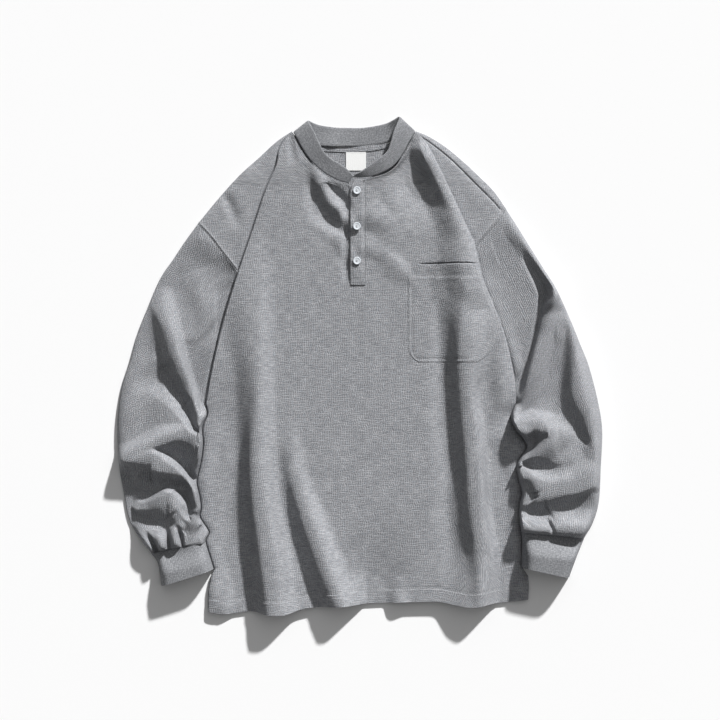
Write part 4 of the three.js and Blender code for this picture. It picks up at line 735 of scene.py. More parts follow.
def tube(cloth, outer, inner, closed_from, height_at, columns):
    """Fills a cloth mesh with a flattened tube and gives its upper sheet's points."""
    width = np.hypot(*(inner - outer).T)[:, None]
    ends = np.array([0, 0.35, 0.9, 1.7, ROUND_EDGE])
    limit = width * 0.3
    first = np.minimum(ends, limit * ends / ends[-1])
    middle = columns - 2 * (len(ends) - 1)
    between = first[:, -1:] + (width - 2 * first[:, -1:]) * np.linspace(0, 1, middle + 1)[1:-1]
    places = np.hstack([first, between, width - first[:, ::-1]])
    inset = np.minimum(LINING_INSET, width * 0.25)
    from_outer = inset + (width - 2 * inset) * places / np.maximum(width, 1e-6)
    is_open = np.arange(len(outer))[:, None] < closed_from
    open_places = inset + (width - inset) * places / np.maximum(width, 1e-6)
    lining = np.where(is_open, open_places, from_outer)

    def spots(at):
        share = (at / np.maximum(width, 1e-6))[..., None]
        return outer[:, None, :] + (inner - outer)[:, None, :] * share

    def roundness(at):
        to_inner = np.where(is_open, 1e3, width - at)
        near = np.minimum(np.minimum(at, to_inner) / np.minimum(ROUND_EDGE, limit + 1e-6), 1)
        return np.sqrt(np.maximum(1 - (1 - near) ** 2, 0))

    plan, under = spots(places), spots(lining)
    top = np.maximum(height_at(plan[..., 0], plan[..., 1]), EDGE_TOP)
    curve = roundness(places)
    ceiling = np.maximum(height_at(under[..., 0], under[..., 1])
                         - wall_depth(height_at, under[..., 0], under[..., 1]), CLOTH + SEAM_GAP)
    lining_curve = roundness(lining - inset)
    edge_lining = np.where(is_open, lining_curve, np.minimum(lining_curve, roundness(lining + inset)))
    upper_z = EDGE_MIDDLE + (top - EDGE_MIDDLE) * curve
    lower_z = EDGE_MIDDLE * (1 - curve)
    ceiling_z = EDGE_MIDDLE + (ceiling - EDGE_MIDDLE) * edge_lining
    floor_z = EDGE_MIDDLE - (EDGE_MIDDLE - CLOTH) * edge_lining
    flat = np.stack([along([plan[..., 0], plan[..., 1], upper_z], 1, columns // 2),
                     along([plan[..., 0], plan[..., 1]], 0, 0)], axis=-1)
    upper = cloth.sheet(np.dstack([plan, upper_z]), flat)
    lower = cloth.sheet(np.dstack([plan, lower_z]), flat)
    ceiling = cloth.sheet(np.dstack([under, ceiling_z]), flat)
    floor = cloth.sheet(np.dstack([under, floor_z]), flat)
    cloth.quads(upper)
    cloth.quads(lower, up=False)
    cloth.quads(ceiling, up=False)
    cloth.quads(floor)
    cloth.strip(upper[-1], ceiling[-1])
    cloth.strip(lower[-1], floor[-1])
    if closed_from > 0:
        cloth.strip(upper[:closed_from + 1, -1], ceiling[:closed_from + 1, -1])
        cloth.strip(lower[:closed_from + 1, -1], floor[:closed_from + 1, -1])
    cloth.strip(upper[0], ceiling[0])
    cloth.strip(lower[0], floor[0])
    return np.dstack([plan, upper_z])


# %% Sleeves and cuffs
def cuff_height(outer, inner, cuff_top):
    outer_line, inner_line = smooth_rows(outer), smooth_rows(inner)
    seam = np.asarray([outer[0], inner[0]], float)

    def height(x, y):
        from_outer, from_inner = nearest(x, y, outer_line)[0], nearest(x, y, inner_line)[0]
        top = mix(cuff_seam_top(x, y, seam), cuff_top, ease(2, 34, nearest(x, y, seam)[0]))
        return EDGE_TOP + (top - EDGE_TOP) * rise(from_outer, CUFF_EDGE_REACH) * rise(from_inner, CUFF_EDGE_REACH)
    return height


def make_sleeve(side):
    seam = [side["outer"][-1], side["inner"][-1]]
    upper = along_line(side["armhole"], ARMHOLE_ROWS)
    fold_y = np.linspace(side["tip"], ARMPIT_Y, FOLD_ROWS + 1)[1:]
    fold = np.stack([side["fold_x"](fold_y), fold_y], axis=-1)
    hole = moved_aside(np.vstack([upper, fold]), side["aside"])
    arm_y = np.linspace(ARMPIT_Y, seam[1][1], ARM_ROWS + 1)[1:]
    arm = np.stack([side["inner_x"](arm_y), arm_y], axis=-1)
    arm[-1] = seam[1]
    inner = np.vstack([hole, arm])
    outer = along_line(side["outer"], len(inner) - 1)
    inner[0] = outer[0]
    height = sleeve_height(side["outer"], side["inner"], side["folds"], side["crown"], seam, hole, side["crease"],
                           side["tip"])
    sleeve = ClothMesh()
    points = tube(sleeve, outer, inner, ARMHOLE_ROWS + FOLD_ROWS, height, SLEEVE_COLUMNS)
    sleeve_piece = sleeve.make("sleeve_cloth_" + side["name"])
    shift = np.array([0, -(SEAM_GAP + 0.1)])
    cuff = ClothMesh()
    cuff_points = tube(cuff, along_line(side["cuff_outer"], 26) + shift, along_line(side["cuff_inner"], 26) + shift, 0,
                       cuff_height(side["cuff_outer"], side["cuff_inner"], side["cuff_top"]), 50)
    cuff_piece = cuff.make("cuff_cloth_" + side["name"])
    return sleeve_piece, cuff_piece, points, cuff_points, height


SIDES = {
    "left": {"name": "left", "outer": LEFT_OUTER, "inner": LEFT_INNER, "armhole": LEFT_ARMHOLE, "tip": LEFT_TIP_Y,
             "fold_x": left_fold_x, "inner_x": left_inner_x, "folds": LEFT_SLEEVE_FOLDS, "crown": LEFT_CROWN,
             "aside": SIDE_GAP, "crease": 4.5, "cuff_top": 33, "cuff_outer": LEFT_CUFF_OUTER, "cuff_inner": LEFT_CUFF_INNER},
    "right": {"name": "right", "outer": RIGHT_OUTER, "inner": RIGHT_INNER, "armhole": RIGHT_ARMHOLE,
              "tip": RIGHT_TIP_Y, "fold_x": right_fold_x, "inner_x": right_inner_x, "folds": RIGHT_SLEEVE_FOLDS,
              "crown": RIGHT_CROWN, "aside": -SIDE_GAP, "crease": 0.3, "cuff_top": 38,
              "cuff_outer": RIGHT_CUFF_OUTER, "cuff_inner": RIGHT_CUFF_INNER},
}
sleeves = {name: make_sleeve(side) for name, side in SIDES.items()}

# %% [markdown]
# The collar is one ribbed band that stands on the neck seam. Its two ends meet at the centre of the front.
# Each station gives the seam point and the free edge point, and the wall is laid evenly on both sides of them.

# %% Collar
COLLAR_STATIONS = [
    (-16.8, 272.6, 13.5, -9.8, 284.2, 16.5), (-33, 277.5, 14, -24, 298, 17), (-50, 286.5, 13.5, -42, 309, 17),
    (-65, 298.5, 12.5, -54, 320, 16.5), (-77, 311.5, 11.5, -61, 334, 15.5), (-87, 327, 10, -68, 349, 13.5),
    (-94, 340, 8, -73, 360, 11.5), (-99.5, 349.5, 5, -77, 367, 7), (-93, 343.5, 1.5, -70, 364.5, 2.2),
    (-78, 334.5, 1.6, -60, 361, 1.3), (-60, 329.8, 3.4, -45, 358.5, 1.3), (-44, 328.6, 5.6, -33, 357.4, 1.3),
    (-27, 328.6, 4.0, -20, 357, 1.3), (0, 329, 1.4, 2, 357, 1.3), (25, 331.5, 1.2, 24, 360, 1.3), (45, 336.5, 1.2, 40, 364, 1.3),
    (64, 342.5, 3, 50, 368.5, 6), (82, 350.5, 6, 58.5, 372.5, 11), (79, 344, 8, 55, 362, 15),
    (73, 334, 10, 49.5, 349, 17), (66, 321, 11.5, 45.5, 333, 17.5), (57.5, 307.5, 12.5, 40, 320, 17.5),
    (46.5, 296.5, 13.5, 29, 310, 19.5), (32, 288.5, 14, 17, 301, 20.5), (15, 283, 14.5, 6, 293.3, 20.5),
    (0, 281.8, 15, -2, 288.4, 19.5), (-10.6, 282.4, 15, -6.8, 286, 18),
]
COLLAR_WALL = 2.2
COLLAR_BANDS = 16


def band(cloth, stations, wall, bands):
    """Sweeps a wall along stations of seam and free edge, and gives its face points."""
    seam, free = stations[:, None, :3], stations[:, None, 3:]
    share = np.concatenate([[0, 0.02], np.linspace(0.06, 0.94, bands - 3), [0.98, 1]])[None, :, None]
    middle = seam + (free - seam) * share
    normal = np.cross(free - seam, np.gradient(middle, axis=0))
    normal /= np.linalg.norm(normal, axis=-1, keepdims=True)
    round_edges = np.sqrt(np.maximum(1 - (1 - np.minimum(np.minimum(share, 1 - share) / 0.06, 1)) ** 2, 0.04))
    face, rear = middle + normal * wall / 2 * round_edges, middle - normal * wall / 2 * round_edges
    length = np.pad(np.cumsum(np.linalg.norm(np.diff(middle[:, bands // 2], axis=0), axis=-1)), (1, 0))
    across = np.linalg.norm(free - seam, axis=-1) * share[..., 0]
    flat = np.stack([np.broadcast_to(length[:, None], across.shape), across], axis=-1)
    one, two = cloth.sheet(face, flat), cloth.sheet(rear, flat)
    cloth.quads(one)
    cloth.quads(two, up=False)
    for k in (0, -1):
        cloth.strip(one[:, k], two[:, k])
        cloth.strip(one[k], two[k])
    return face


collar = ClothMesh()
collar_face = band(collar, smooth_rows(COLLAR_STATIONS, 9), COLLAR_WALL, COLLAR_BANDS)
collar_piece = collar.make("collar_cloth")

# %% [markdown]
# The placket strips, the pocket and its turned hem lie on the front, so their undersides are the front's own
# height, moved out by the sewing gap. Their edges are rounded, as folded cloth is.

# %% Layers on the front
PLACKET_WALL = 3
PLACKET_THIN = 1.6
POCKET_LIFT = -0.1
POCKET_WALL = 1.0
POCKET_THIN = 0.15
POCKET_EDGE = 3.6
POCKET_DROP = 0.8
POCKET_BAND = 132.5
STITCH_INSET = 2.0
BOX_DEPTH = 8.5
POCKET_LEFT, POCKET_RIGHT, POCKET_BOTTOM, POCKET_TOP = 71, 203, 4.5, 151
POCKET_CORNER = 24
POCKET_RIGHT_CORNER = 40
POCKET_FADE = (150, 172)
POCKET_CLEAR = 5
PLACKET_LEFT, PLACKET_RIGHT, PLACKET_BOTTOM, PLACKET_TOP = -14.3, 8, 121, 278.6
LAYER_EDGE = 1.1


def layer_on_front(name, rows, left, right, columns, lift, wall_at, rounded_top=True):
    """A cloth layer between two side lines over the front. wall_at gives its thickness at each place."""
    share = np.linspace(0, 1, columns + 1)
    edge = LAYER_EDGE / np.maximum(right - left, 1)[:, None]
    warped = np.hstack([0 * edge, edge * 0.35, edge, edge + (1 - 2 * edge) * share[1:-1], 1 - edge, 1 - edge * 0.35, 0 * edge + 1])
    x = left[:, None] + (right - left)[:, None] * warped
    y = rows[:, None] + 0 * x
    side = np.minimum(x - left[:, None], right[:, None] - x)
    side = np.minimum(side, y - rows[0])
    if rounded_top:
        side = np.minimum(side, rows[-1] - y)
    curve = np.sqrt(np.maximum(1 - (1 - np.minimum(side / LAYER_EDGE, 1)) ** 2, 0))
    base = front_top(x, y) + lift
    top = base + wall_at(x, y, side) * (0.25 + 0.75 * curve)
    cloth = ClothMesh()
    flat = np.stack([along([x, top], 1, columns // 2), along([y, top], 0, 0)], axis=-1)
    upper = cloth.sheet(np.dstack([x, y, top]), flat)
    lower = cloth.sheet(np.dstack([x, y, base]), flat)
    cells = np.ones((len(rows) - 1, x.shape[1] - 1), bool)
    cloth.quads(upper, cells)
    cloth.quads(lower, cells, up=False)
    rims(cloth, upper, lower, cells)
    return cloth.make(name), np.dstack([x, y, top])


def edge_rows(low, high, step):
    inner = np.linspace(low + LAYER_EDGE, high - LAYER_EDGE, int((high - low) / step))
    return np.concatenate([[low, low + 0.35 * LAYER_EDGE], inner, [high - 0.35 * LAYER_EDGE, high]])


rows = edge_rows(SLOT_BOTTOM + SEAM_GAP, SLOT_TOP_LEFT - 0.5, 2.5)
under_strip, _ = layer_on_front("placket_under_cloth", rows, 0 * rows + SLOT_LEFT + SEAM_GAP,
                                0 * rows + SLOT_RIGHT - SEAM_GAP, 8, -CLOTH, lambda x, y, d: CLOTH + 0 * x)


def stitched_groove(side):
    return -0.75 * np.exp(-((side - STITCH_INSET) / 1.0) ** 2)


def placket_wall(x, y, side):
    full = ease(0, 6.5, PLACKET_RIGHT - x) * ease(0, 26, y - PLACKET_BOTTOM)
    box = stitched_groove(y - PLACKET_BOTTOM - BOX_DEPTH + STITCH_INSET)
    return mix(PLACKET_THIN, PLACKET_WALL, full) + np.minimum(stitched_groove(side), box)


PLACKET_CORNER = [(PLACKET_LEFT, 121), (PLACKET_LEFT, 263), (-13.4, 268), (-11.4, 272), (-9.6, 275.5), (-8.8, 278.6)]
rows = edge_rows(PLACKET_BOTTOM, PLACKET_TOP, 1.6)
placket_left = reader(PLACKET_CORNER, 1, 0)(rows)
placket, placket_points = layer_on_front("placket_upper_cloth", rows, placket_left, 0 * rows + PLACKET_RIGHT, 14,
                                         SEAM_GAP, placket_wall)

rows = edge_rows(POCKET_BOTTOM, POCKET_TOP, 1.2)


def corner_inset(rows, radius):
    drop = np.clip(radius - (rows - POCKET_BOTTOM), 0, radius)
    return radius - np.sqrt(radius ** 2 - drop ** 2)


pocket_left = POCKET_LEFT + corner_inset(rows, POCKET_CORNER)
pocket_right = np.minimum(POCKET_RIGHT - corner_inset(rows, POCKET_RIGHT_CORNER), right_fold_x(rows) - POCKET_CLEAR)


def pocket_wall(x, y, side):
    """A soft climb to the stitched edge, a crisp drop inside it, and the same drop over the mouth's band."""
    edge = POCKET_THIN + (POCKET_WALL - POCKET_THIN) * ease(0, POCKET_EDGE, side)
    inside = ease(POCKET_EDGE, POCKET_EDGE + 1, side) * (1 - ease(POCKET_EDGE + 1, 12, side)) * (1 - ease(*POCKET_FADE, x))
    band = ease(POCKET_BAND, POCKET_BAND + 1, y) * (1 - ease(POCKET_BAND + 1, POCKET_TOP - 1, y))
    return edge - POCKET_DROP * np.maximum(inside, band * ease(0, POCKET_EDGE, side))


pocket, pocket_points = layer_on_front("pocket_cloth", rows, pocket_left, pocket_right, 92, POCKET_LIFT, pocket_wall,
                                       rounded_top=False)

# %% [markdown]
# Inside the neck lie the blank label and the tape that covers the back neck seam.

# %% Label and tape
LABEL = (-21, 9, 293, 320.5)
LABEL_WALL = 0.8
TAPE_WALL = 1.0
INSIDE = CLOTH + SEAM_GAP


def flat_strip(name, left, right, wall, columns):
    """A thin strip on the back panel between two lines of plan points."""
    share = np.linspace(0, 1, columns + 1)[None, :, None]
    plan = left[:, None] + (right - left)[:, None] * share
    length = along([plan[..., 0], plan[..., 1]], 0, 0)
    across = along([plan[..., 0], plan[..., 1]], 1, 0)
    cloth = ClothMesh()
    level = np.ones(plan.shape[:2])
    flat = np.stack([across, length], axis=-1)
    upper = cloth.sheet(np.dstack([plan, (INSIDE + wall) * level]), flat)
    lower = cloth.sheet(np.dstack([plan, INSIDE * level]), flat)
    cells = np.ones((plan.shape[0] - 1, columns), bool)
    cloth.quads(upper, cells)
    cloth.quads(lower, cells, up=False)
    rims(cloth, upper, lower, cells)
    return cloth.make(name)


label_y = np.linspace(LABEL[2], LABEL[3], 20)
label_piece = flat_strip("neck_label_cloth", np.stack([LABEL[0] + 0 * label_y, label_y], -1),
                         np.stack([LABEL[1] + 0 * label_y, label_y], -1), LABEL_WALL, 20)
tape_line = smooth_rows(BACK_NECK[3:8], 10)
tape_piece = flat_strip("neck_tape_cloth", tape_line - [0, 5.8], tape_line - [0, 1.2], TAPE_WALL, 5)

# %% [markdown]
# The cloth is a marl waffle knit: small raised squares about two and a half millimetres across, in yarn of
# several greys, so the surface is flecked with short lighter and darker dashes along the courses.
# The same fleck goes into the ribbed collar and cuffs, so it is a group that each material fills with its own
# values. All lengths come from the flat cloth's own coordinates, which are in hundreds of millimetres.

# %% Node groups
def new_group(name, inputs, outputs):
    group = bpy.data.node_groups.new(name, "ShaderNodeTree")
    for label, kind, value in inputs:
        socket = group.interface.new_socket(label, in_out="INPUT", socket_type=kind)
        if value is not None:
            socket.default_value = value
    for label, kind in outputs:
        group.interface.new_socket(label, in_out="OUTPUT", socket_type=kind)
    return group, group.nodes.new("NodeGroupInput"), group.nodes.new("NodeGroupOutput")


def math_node(tree, operation, a, b=None, clamp=False):
    node = tree.nodes.new("ShaderNodeMath")
    node.operation = operation
    node.use_clamp = clamp
    for socket, value in zip(node.inputs, (a, b)):
        if hasattr(value, "is_output"):
            tree.links.new(value, socket)
        elif value is not None:
            socket.default_value = value
    return node.outputs[0]


def scaled(tree, vector, x, y):
    node = tree.nodes.new("ShaderNodeVectorMath")
    node.operation = "MULTIPLY"
    tree.links.new(vector, node.inputs[0])
    parts = tree.nodes.new("ShaderNodeCombineXYZ")
    for socket, value in zip(parts.inputs, (x, y)):
        if hasattr(value, "is_output"):
            tree.links.new(value, socket)
        else:
            socket.default_value = value
    tree.links.new(parts.outputs[0], node.inputs[1])
    return node.outputs[0]


def noise(tree, vector, scale=1.0, detail=2.0, roughness=0.6):
    node = tree.nodes.new("ShaderNodeTexNoise")
    node.inputs["Scale"].default_value = scale
    node.inputs["Detail"].default_value = detail
    node.inputs["Roughness"].default_value = roughness
    tree.links.new(vector, node.inputs["Vector"])
    return node.outputs["Fac"]


def spread(tree, value, low, high):
    node = tree.nodes.new("ShaderNodeMapRange")
    tree.links.new(value, node.inputs["Value"])
    node.inputs["From Min"].default_value = low
    node.inputs["From Max"].default_value = high
    return node.outputs["Result"]


marl_group, marl_in, marl_out = new_group(
    "marl_fleck",
    [("Cloth", "NodeSocketVector", None), ("Dash Length", "NodeSocketFloat", 8.0), ("Dash Height", "NodeSocketFloat", 1.3),
     ("Contrast", "NodeSocketFloat", 1.0)],
    [("Fleck", "NodeSocketFloat"), ("Tint", "NodeSocketFloat")])
per_length = math_node(marl_group, "DIVIDE", 100.0, marl_in.outputs["Dash Length"])
per_height = math_node(marl_group, "DIVIDE", 100.0, marl_in.outputs["Dash Height"])
dashes = spread(marl_group, noise(marl_group, scaled(marl_group, marl_in.outputs["Cloth"], per_length, per_height), 1, 1.5), 0.3, 0.7)
grains = spread(marl_group, noise(marl_group, scaled(marl_group, marl_in.outputs["Cloth"], 70, 60), 1, 2.5), 0.3, 0.7)
clouds = spread(marl_group, noise(marl_group, scaled(marl_group, marl_in.outputs["Cloth"], 3.2, 4.6), 1, 3), 0.3, 0.7)
sum_one = math_node(marl_group, "ADD", math_node(marl_group, "MULTIPLY", dashes, 0.48),
                    math_node(marl_group, "MULTIPLY", grains, 0.34))
sum_two = math_node(marl_group, "ADD", sum_one, math_node(marl_group, "MULTIPLY", clouds, 0.18))
centred = math_node(marl_group, "MULTIPLY", math_node(marl_group, "SUBTRACT", sum_two, 0.5), marl_in.outputs["Contrast"])
marl_group.links.new(math_node(marl_group, "ADD", centred, 0.5, True), marl_out.inputs["Fleck"])
tint = noise(marl_group, scaled(marl_group, marl_in.outputs["Cloth"], 22, 40), 1, 1.0)
marl_group.links.new(spread(marl_group, tint, 0.3, 0.7), marl_out.inputs["Tint"])

# %% [markdown]
# The waffle's height: each cell is a shallow square pit between raised lines, and the lines wander a little.
# The ribs of collar and cuffs are the same idea with lines in one direction only.

# %% Relief groups
def wave(tree, coordinate, softness=0.5):
    turned = math_node(tree, "MULTIPLY", coordinate, math.pi)
    return math_node(tree, "POWER", math_node(tree, "ABSOLUTE", math_node(tree, "SINE", turned)), softness)


waffle_group, waffle_in, waffle_out = new_group(
    "waffle_relief", [("Cloth", "NodeSocketVector", None), ("Cell Width", "NodeSocketFloat", 2.6),
                      ("Cell Height", "NodeSocketFloat", 2.4), ("Unevenness", "NodeSocketFloat", 0.35)],
    [("Relief", "NodeSocketFloat"), ("Pit", "NodeSocketFloat"), ("Wale", "NodeSocketFloat")])
cells_across = math_node(waffle_group, "DIVIDE", 100.0, waffle_in.outputs["Cell Width"])
cells_along = math_node(waffle_group, "DIVIDE", 100.0, waffle_in.outputs["Cell Height"])
drift = noise(waffle_group, scaled(waffle_group, waffle_in.outputs["Cloth"], 9, 9), 1, 1.0)
shift = math_node(waffle_group, "MULTIPLY", math_node(waffle_group, "SUBTRACT", drift, 0.5), 2.4)
split = waffle_group.nodes.new("ShaderNodeSeparateXYZ")
waffle_group.links.new(scaled(waffle_group, waffle_in.outputs["Cloth"], cells_across, cells_along), split.inputs[0])
lines_one = wave(waffle_group, math_node(waffle_group, "ADD", split.outputs["X"], shift), 1.0)
lines_two = wave(waffle_group, math_node(waffle_group, "ADD", split.outputs["Y"], shift), 0.6)
pit = math_node(waffle_group, "MULTIPLY", lines_one, lines_two)
fuzz = noise(waffle_group, scaled(waffle_group, waffle_in.outputs["Cloth"], 130, 130), 1, 2.0)
fuzz_part = math_node(waffle_group, "MULTIPLY", fuzz, waffle_in.outputs["Unevenness"])
waffle_group.links.new(math_node(waffle_group, "ADD", math_node(waffle_group, "SUBTRACT", 1.0, pit), fuzz_part), waffle_out.inputs["Relief"])
waffle_group.links.new(pit, waffle_out.inputs["Pit"])
waffle_group.links.new(lines_one, waffle_out.inputs["Wale"])

rib_group, rib_in, rib_out = new_group(
    "rib_relief", [("Cloth", "NodeSocketVector", None), ("Rib Width", "NodeSocketFloat", 2.2),
                   ("Unevenness", "NodeSocketFloat", 0.25)],
    [("Relief", "NodeSocketFloat")])
ribs_across = math_node(rib_group, "DIVIDE", 100.0, rib_in.outputs["Rib Width"])
rib_split = rib_group.nodes.new("ShaderNodeSeparateXYZ")
rib_group.links.new(scaled(rib_group, rib_in.outputs["Cloth"], ribs_across, 60), rib_split.inputs[0])
rib_lines = wave(rib_group, rib_split.outputs["X"], 0.8)
rib_fuzz = noise(rib_group, scaled(rib_group, rib_in.outputs["Cloth"], 110, 70), 1, 2.0)
rib_group.links.new(math_node(rib_group, "ADD", rib_lines, math_node(rib_group, "MULTIPLY", rib_fuzz, rib_in.outputs["Unevenness"])),
                    rib_out.inputs["Relief"])


# %% Materials
def new_material(name, roughness):
    material = bpy.data.materials.new(name)
    material.use_nodes = True
    tree = material.node_tree
    shader = tree.nodes["Principled BSDF"]
    shader.inputs["Roughness"].default_value = roughness
    shader.inputs["Specular IOR Level"].default_value = 0.25
    return material, tree, shader


def cloth_coordinates(tree):
    node = tree.nodes.new("ShaderNodeUVMap")
    node.uv_map = "flat_cloth"
    return node.outputs["UV"]


def place_group(tree, group, vector, values):
    node = tree.nodes.new("ShaderNodeGroup")
    node.node_tree = group
    if vector is not None:
        tree.links.new(vector, node.inputs["Cloth"])
    for label, value in values.items():
        node.inputs[label].default_value = value
    return node


def colour_ramp(tree, value, stops):
    ramp = tree.nodes.new("ShaderNodeValToRGB")
    tree.links.new(value, ramp.inputs["Fac"])
    while len(ramp.color_ramp.elements) < len(stops):
        ramp.color_ramp.elements.new(0.5)
    for element, (place, colour) in zip(ramp.color_ramp.elements, stops):
        element.position = place
        element.color = (*colour, 1)
    return ramp.outputs["Color"]


def blend(tree, kind, share, one, two):
    node = tree.nodes.new("ShaderNodeMix")
    node.data_type = "RGBA"
    node.blend_type = kind
    for socket, value in ((node.inputs["Factor"], share), (node.inputs["A"], one), (node.inputs["B"], two)):
        if hasattr(value, "is_output"):
            tree.links.new(value, socket)
        else:
            socket.default_value = value
    return node.outputs["Result"]


def bump(tree, shader, height, distance, strength=1.0):
    node = tree.nodes.new("ShaderNodeBump")
    node.inputs["Strength"].default_value = strength
    node.inputs["Distance"].default_value = distance
    tree.links.new(height, node.inputs["Height"])
    tree.links.new(node.outputs["Normal"], shader.inputs["Normal"])


def knit_material(name, stops, dash, cell, relief_depth, wale_shade_strength):
    material, tree, shader = new_material(name, 0.92)
    cloth = cloth_coordinates(tree)
    marl = place_group(tree, marl_group, cloth, {"Dash Length": dash[0], "Dash Height": dash[1], "Contrast": dash[2]})
    waffle = place_group(tree, waffle_group, cloth, {"Cell Width": cell[0], "Cell Height": cell[1], "Unevenness": 0.35})
    yarn = colour_ramp(tree, marl.outputs["Fleck"], stops)
    cool = colour_ramp(tree, marl.outputs["Tint"], [(0.0, (0.97, 1.0, 1.04)), (0.5, (1.0, 1.0, 1.0)), (1.0, (1.03, 0.99, 1.0))])
    tinted = blend(tree, "MULTIPLY", 1.0, yarn, cool)
    # Painted shade and highlight: the colour follows the waffle relief. It is darker in the pits and lighter on the
    # raised lines, and lighter on the wale lines than between them.
    painted_pit_shade = colour_ramp(tree, waffle.outputs["Pit"], [(0.0, (1.06, 1.06, 1.06)), (1.0, (0.88, 0.88, 0.89))])
    painted_wale_shade = colour_ramp(tree, waffle.outputs["Wale"], [(0.0, (1 + wale_shade_strength,) * 3), (1.0, (1 - 0.6 * wale_shade_strength,) * 3)])
    relief_shade = blend(tree, "MULTIPLY", 1.0, painted_pit_shade, painted_wale_shade)
    tree.links.new(blend(tree, "MULTIPLY", 1.0, tinted, relief_shade), shader.inputs["Base Color"])
    bump(tree, shader, waffle.outputs["Relief"], relief_depth)
    return material


def rib_material(name, stops, width, relief_depth):
    material, tree, shader = new_material(name, 0.9)
    cloth = cloth_coordinates(tree)
    marl = place_group(tree, marl_group, cloth, {"Dash Length": 3.0, "Dash Height": 2.2, "Contrast": 1.2})
    rib = place_group(tree, rib_group, cloth, {"Rib Width": width, "Unevenness": 0.25})
    tree.links.new(colour_ramp(tree, marl.outputs["Fleck"], stops), shader.inputs["Base Color"])
    bump(tree, shader, rib.outputs["Relief"], relief_depth)
    return material


GREYS = [(0.0, (0.160, 0.165, 0.176)), (0.35, (0.246, 0.252, 0.264)), (0.65, (0.344, 0.350, 0.362)), (1.0, (0.495, 0.500, 0.514))]
# The rib greys are darker than the body's greys, and part of that darkening is painted shade for the shadow that lies
# on the cuffs.
RIB_GREYS_SHADED = [(0.0, (0.120, 0.124, 0.134)), (0.5, (0.215, 0.220, 0.232)), (1.0, (0.350, 0.355, 0.366))]
knit = knit_material("marl_waffle_knit", GREYS, (12.0, 1.8, 0.95), (2.7, 2.5), 0.0004, 0.17)
sleeve_knit = knit_material("marl_waffle_knit_sleeves", GREYS, (6.0, 1.6, 0.75), (2.7, 2.5), 0.0006, 0.28)
rib = rib_material("marl_rib_knit", RIB_GREYS_SHADED, 2.6, 0.00022)

label_paint, tree, shader = new_material("label_weave", 0.75)
label_cloth = cloth_coordinates(tree)
label_rib = place_group(tree, rib_group, label_cloth, {"Rib Width": 0.6, "Unevenness": 0.6})
# Painted shade and highlight: the label's colour follows its weave relief. It is darker in the grooves and lighter on
# the ribs.
label_weave_shade = colour_ramp(tree, label_rib.outputs["Relief"], [(0.0, (0.74, 0.74, 0.74)), (1.0, (0.88, 0.88, 0.87))])
tree.links.new(label_weave_shade, shader.inputs["Base Color"])
bump(tree, shader, label_rib.outputs["Relief"], 0.0001)

for piece in (front_piece, back_piece, under_strip, placket, pocket, tape_piece):
    piece.data.materials.append(knit)
for piece in (sleeves["left"][0], sleeves["right"][0]):
    piece.data.materials.append(sleeve_knit)
for piece in (sleeves["left"][1], sleeves["right"][1], collar_piece):
    piece.data.materials.append(rib)
label_piece.data.materials.append(label_paint)
print("materials", [m.name for m in bpy.data.materials])

# %% [markdown]
# Buttons are turned discs with a raised rim, a sunk middle and four holes, sewn on with two bars of thread.
# Each is a lathe profile with the holes cut out, and its top face carries fine turning rings.

# %% Buttons
BUTTON_RADIUS = 5.75
BUTTON_WALL = 2.6
BUTTON_COUNT = 3
BUTTON_PROFILE = [(0, 0), (4.2, 0), (5.2, 0.35), (5.75, 1.0), (5.75, 1.8), (5.45, 2.4), (5.0, 2.6), (4.5, 2.55), (4.1, 2.35),
                  (3.7, 2.2), (2.4, 2.15), (0, 2.15)]
HOLE_RADIUS = 0.75
HOLE_RING = 1.35
BUTTON_SIDES = 56


def lathe(profile, sides, centre):
    """A closed turned mesh in millimetres round a vertical line at centre."""
    mesh = bmesh.new()
    rings = []
    for r, z in profile:
        if r == 0:
            rings.append([mesh.verts.new((centre[0], centre[1], centre[2] + z))] * sides)
        else:
            rings.append([mesh.verts.new((centre[0] + r * math.cos(a), centre[1] + r * math.sin(a), centre[2] + z))
                          for a in (2 * math.pi * k / sides for k in range(sides))])
    for one, two in zip(rings[:-1], rings[1:]):
        for k in range(sides):
            n = (k + 1) % sides
            corners = []
            for vertex in (one[k], one[n], two[n], two[k]):
                if vertex not in corners:
                    corners.append(vertex)
            if len(corners) > 2:
                mesh.faces.new(corners)
    bmesh.ops.recalc_face_normals(mesh, faces=mesh.faces)
    return mesh


def to_object(name, mesh, scale=MM):
    bmesh.ops.scale(mesh, vec=(scale,) * 3, verts=mesh.verts)
    data = bpy.data.meshes.new(name)
    mesh.to_mesh(data)
    mesh.free()
    piece = bpy.data.objects.new(name, data)
    bpy.context.scene.collection.objects.link(piece)
    return piece


def settled(piece):
    """Gives the piece the plain mesh of its modifiers and takes the modifiers off."""
    graph = bpy.context.evaluated_depsgraph_get()
    data = bpy.data.meshes.new_from_object(piece.evaluated_get(graph))
    piece.modifiers.clear()
    piece.data = data
    return piece


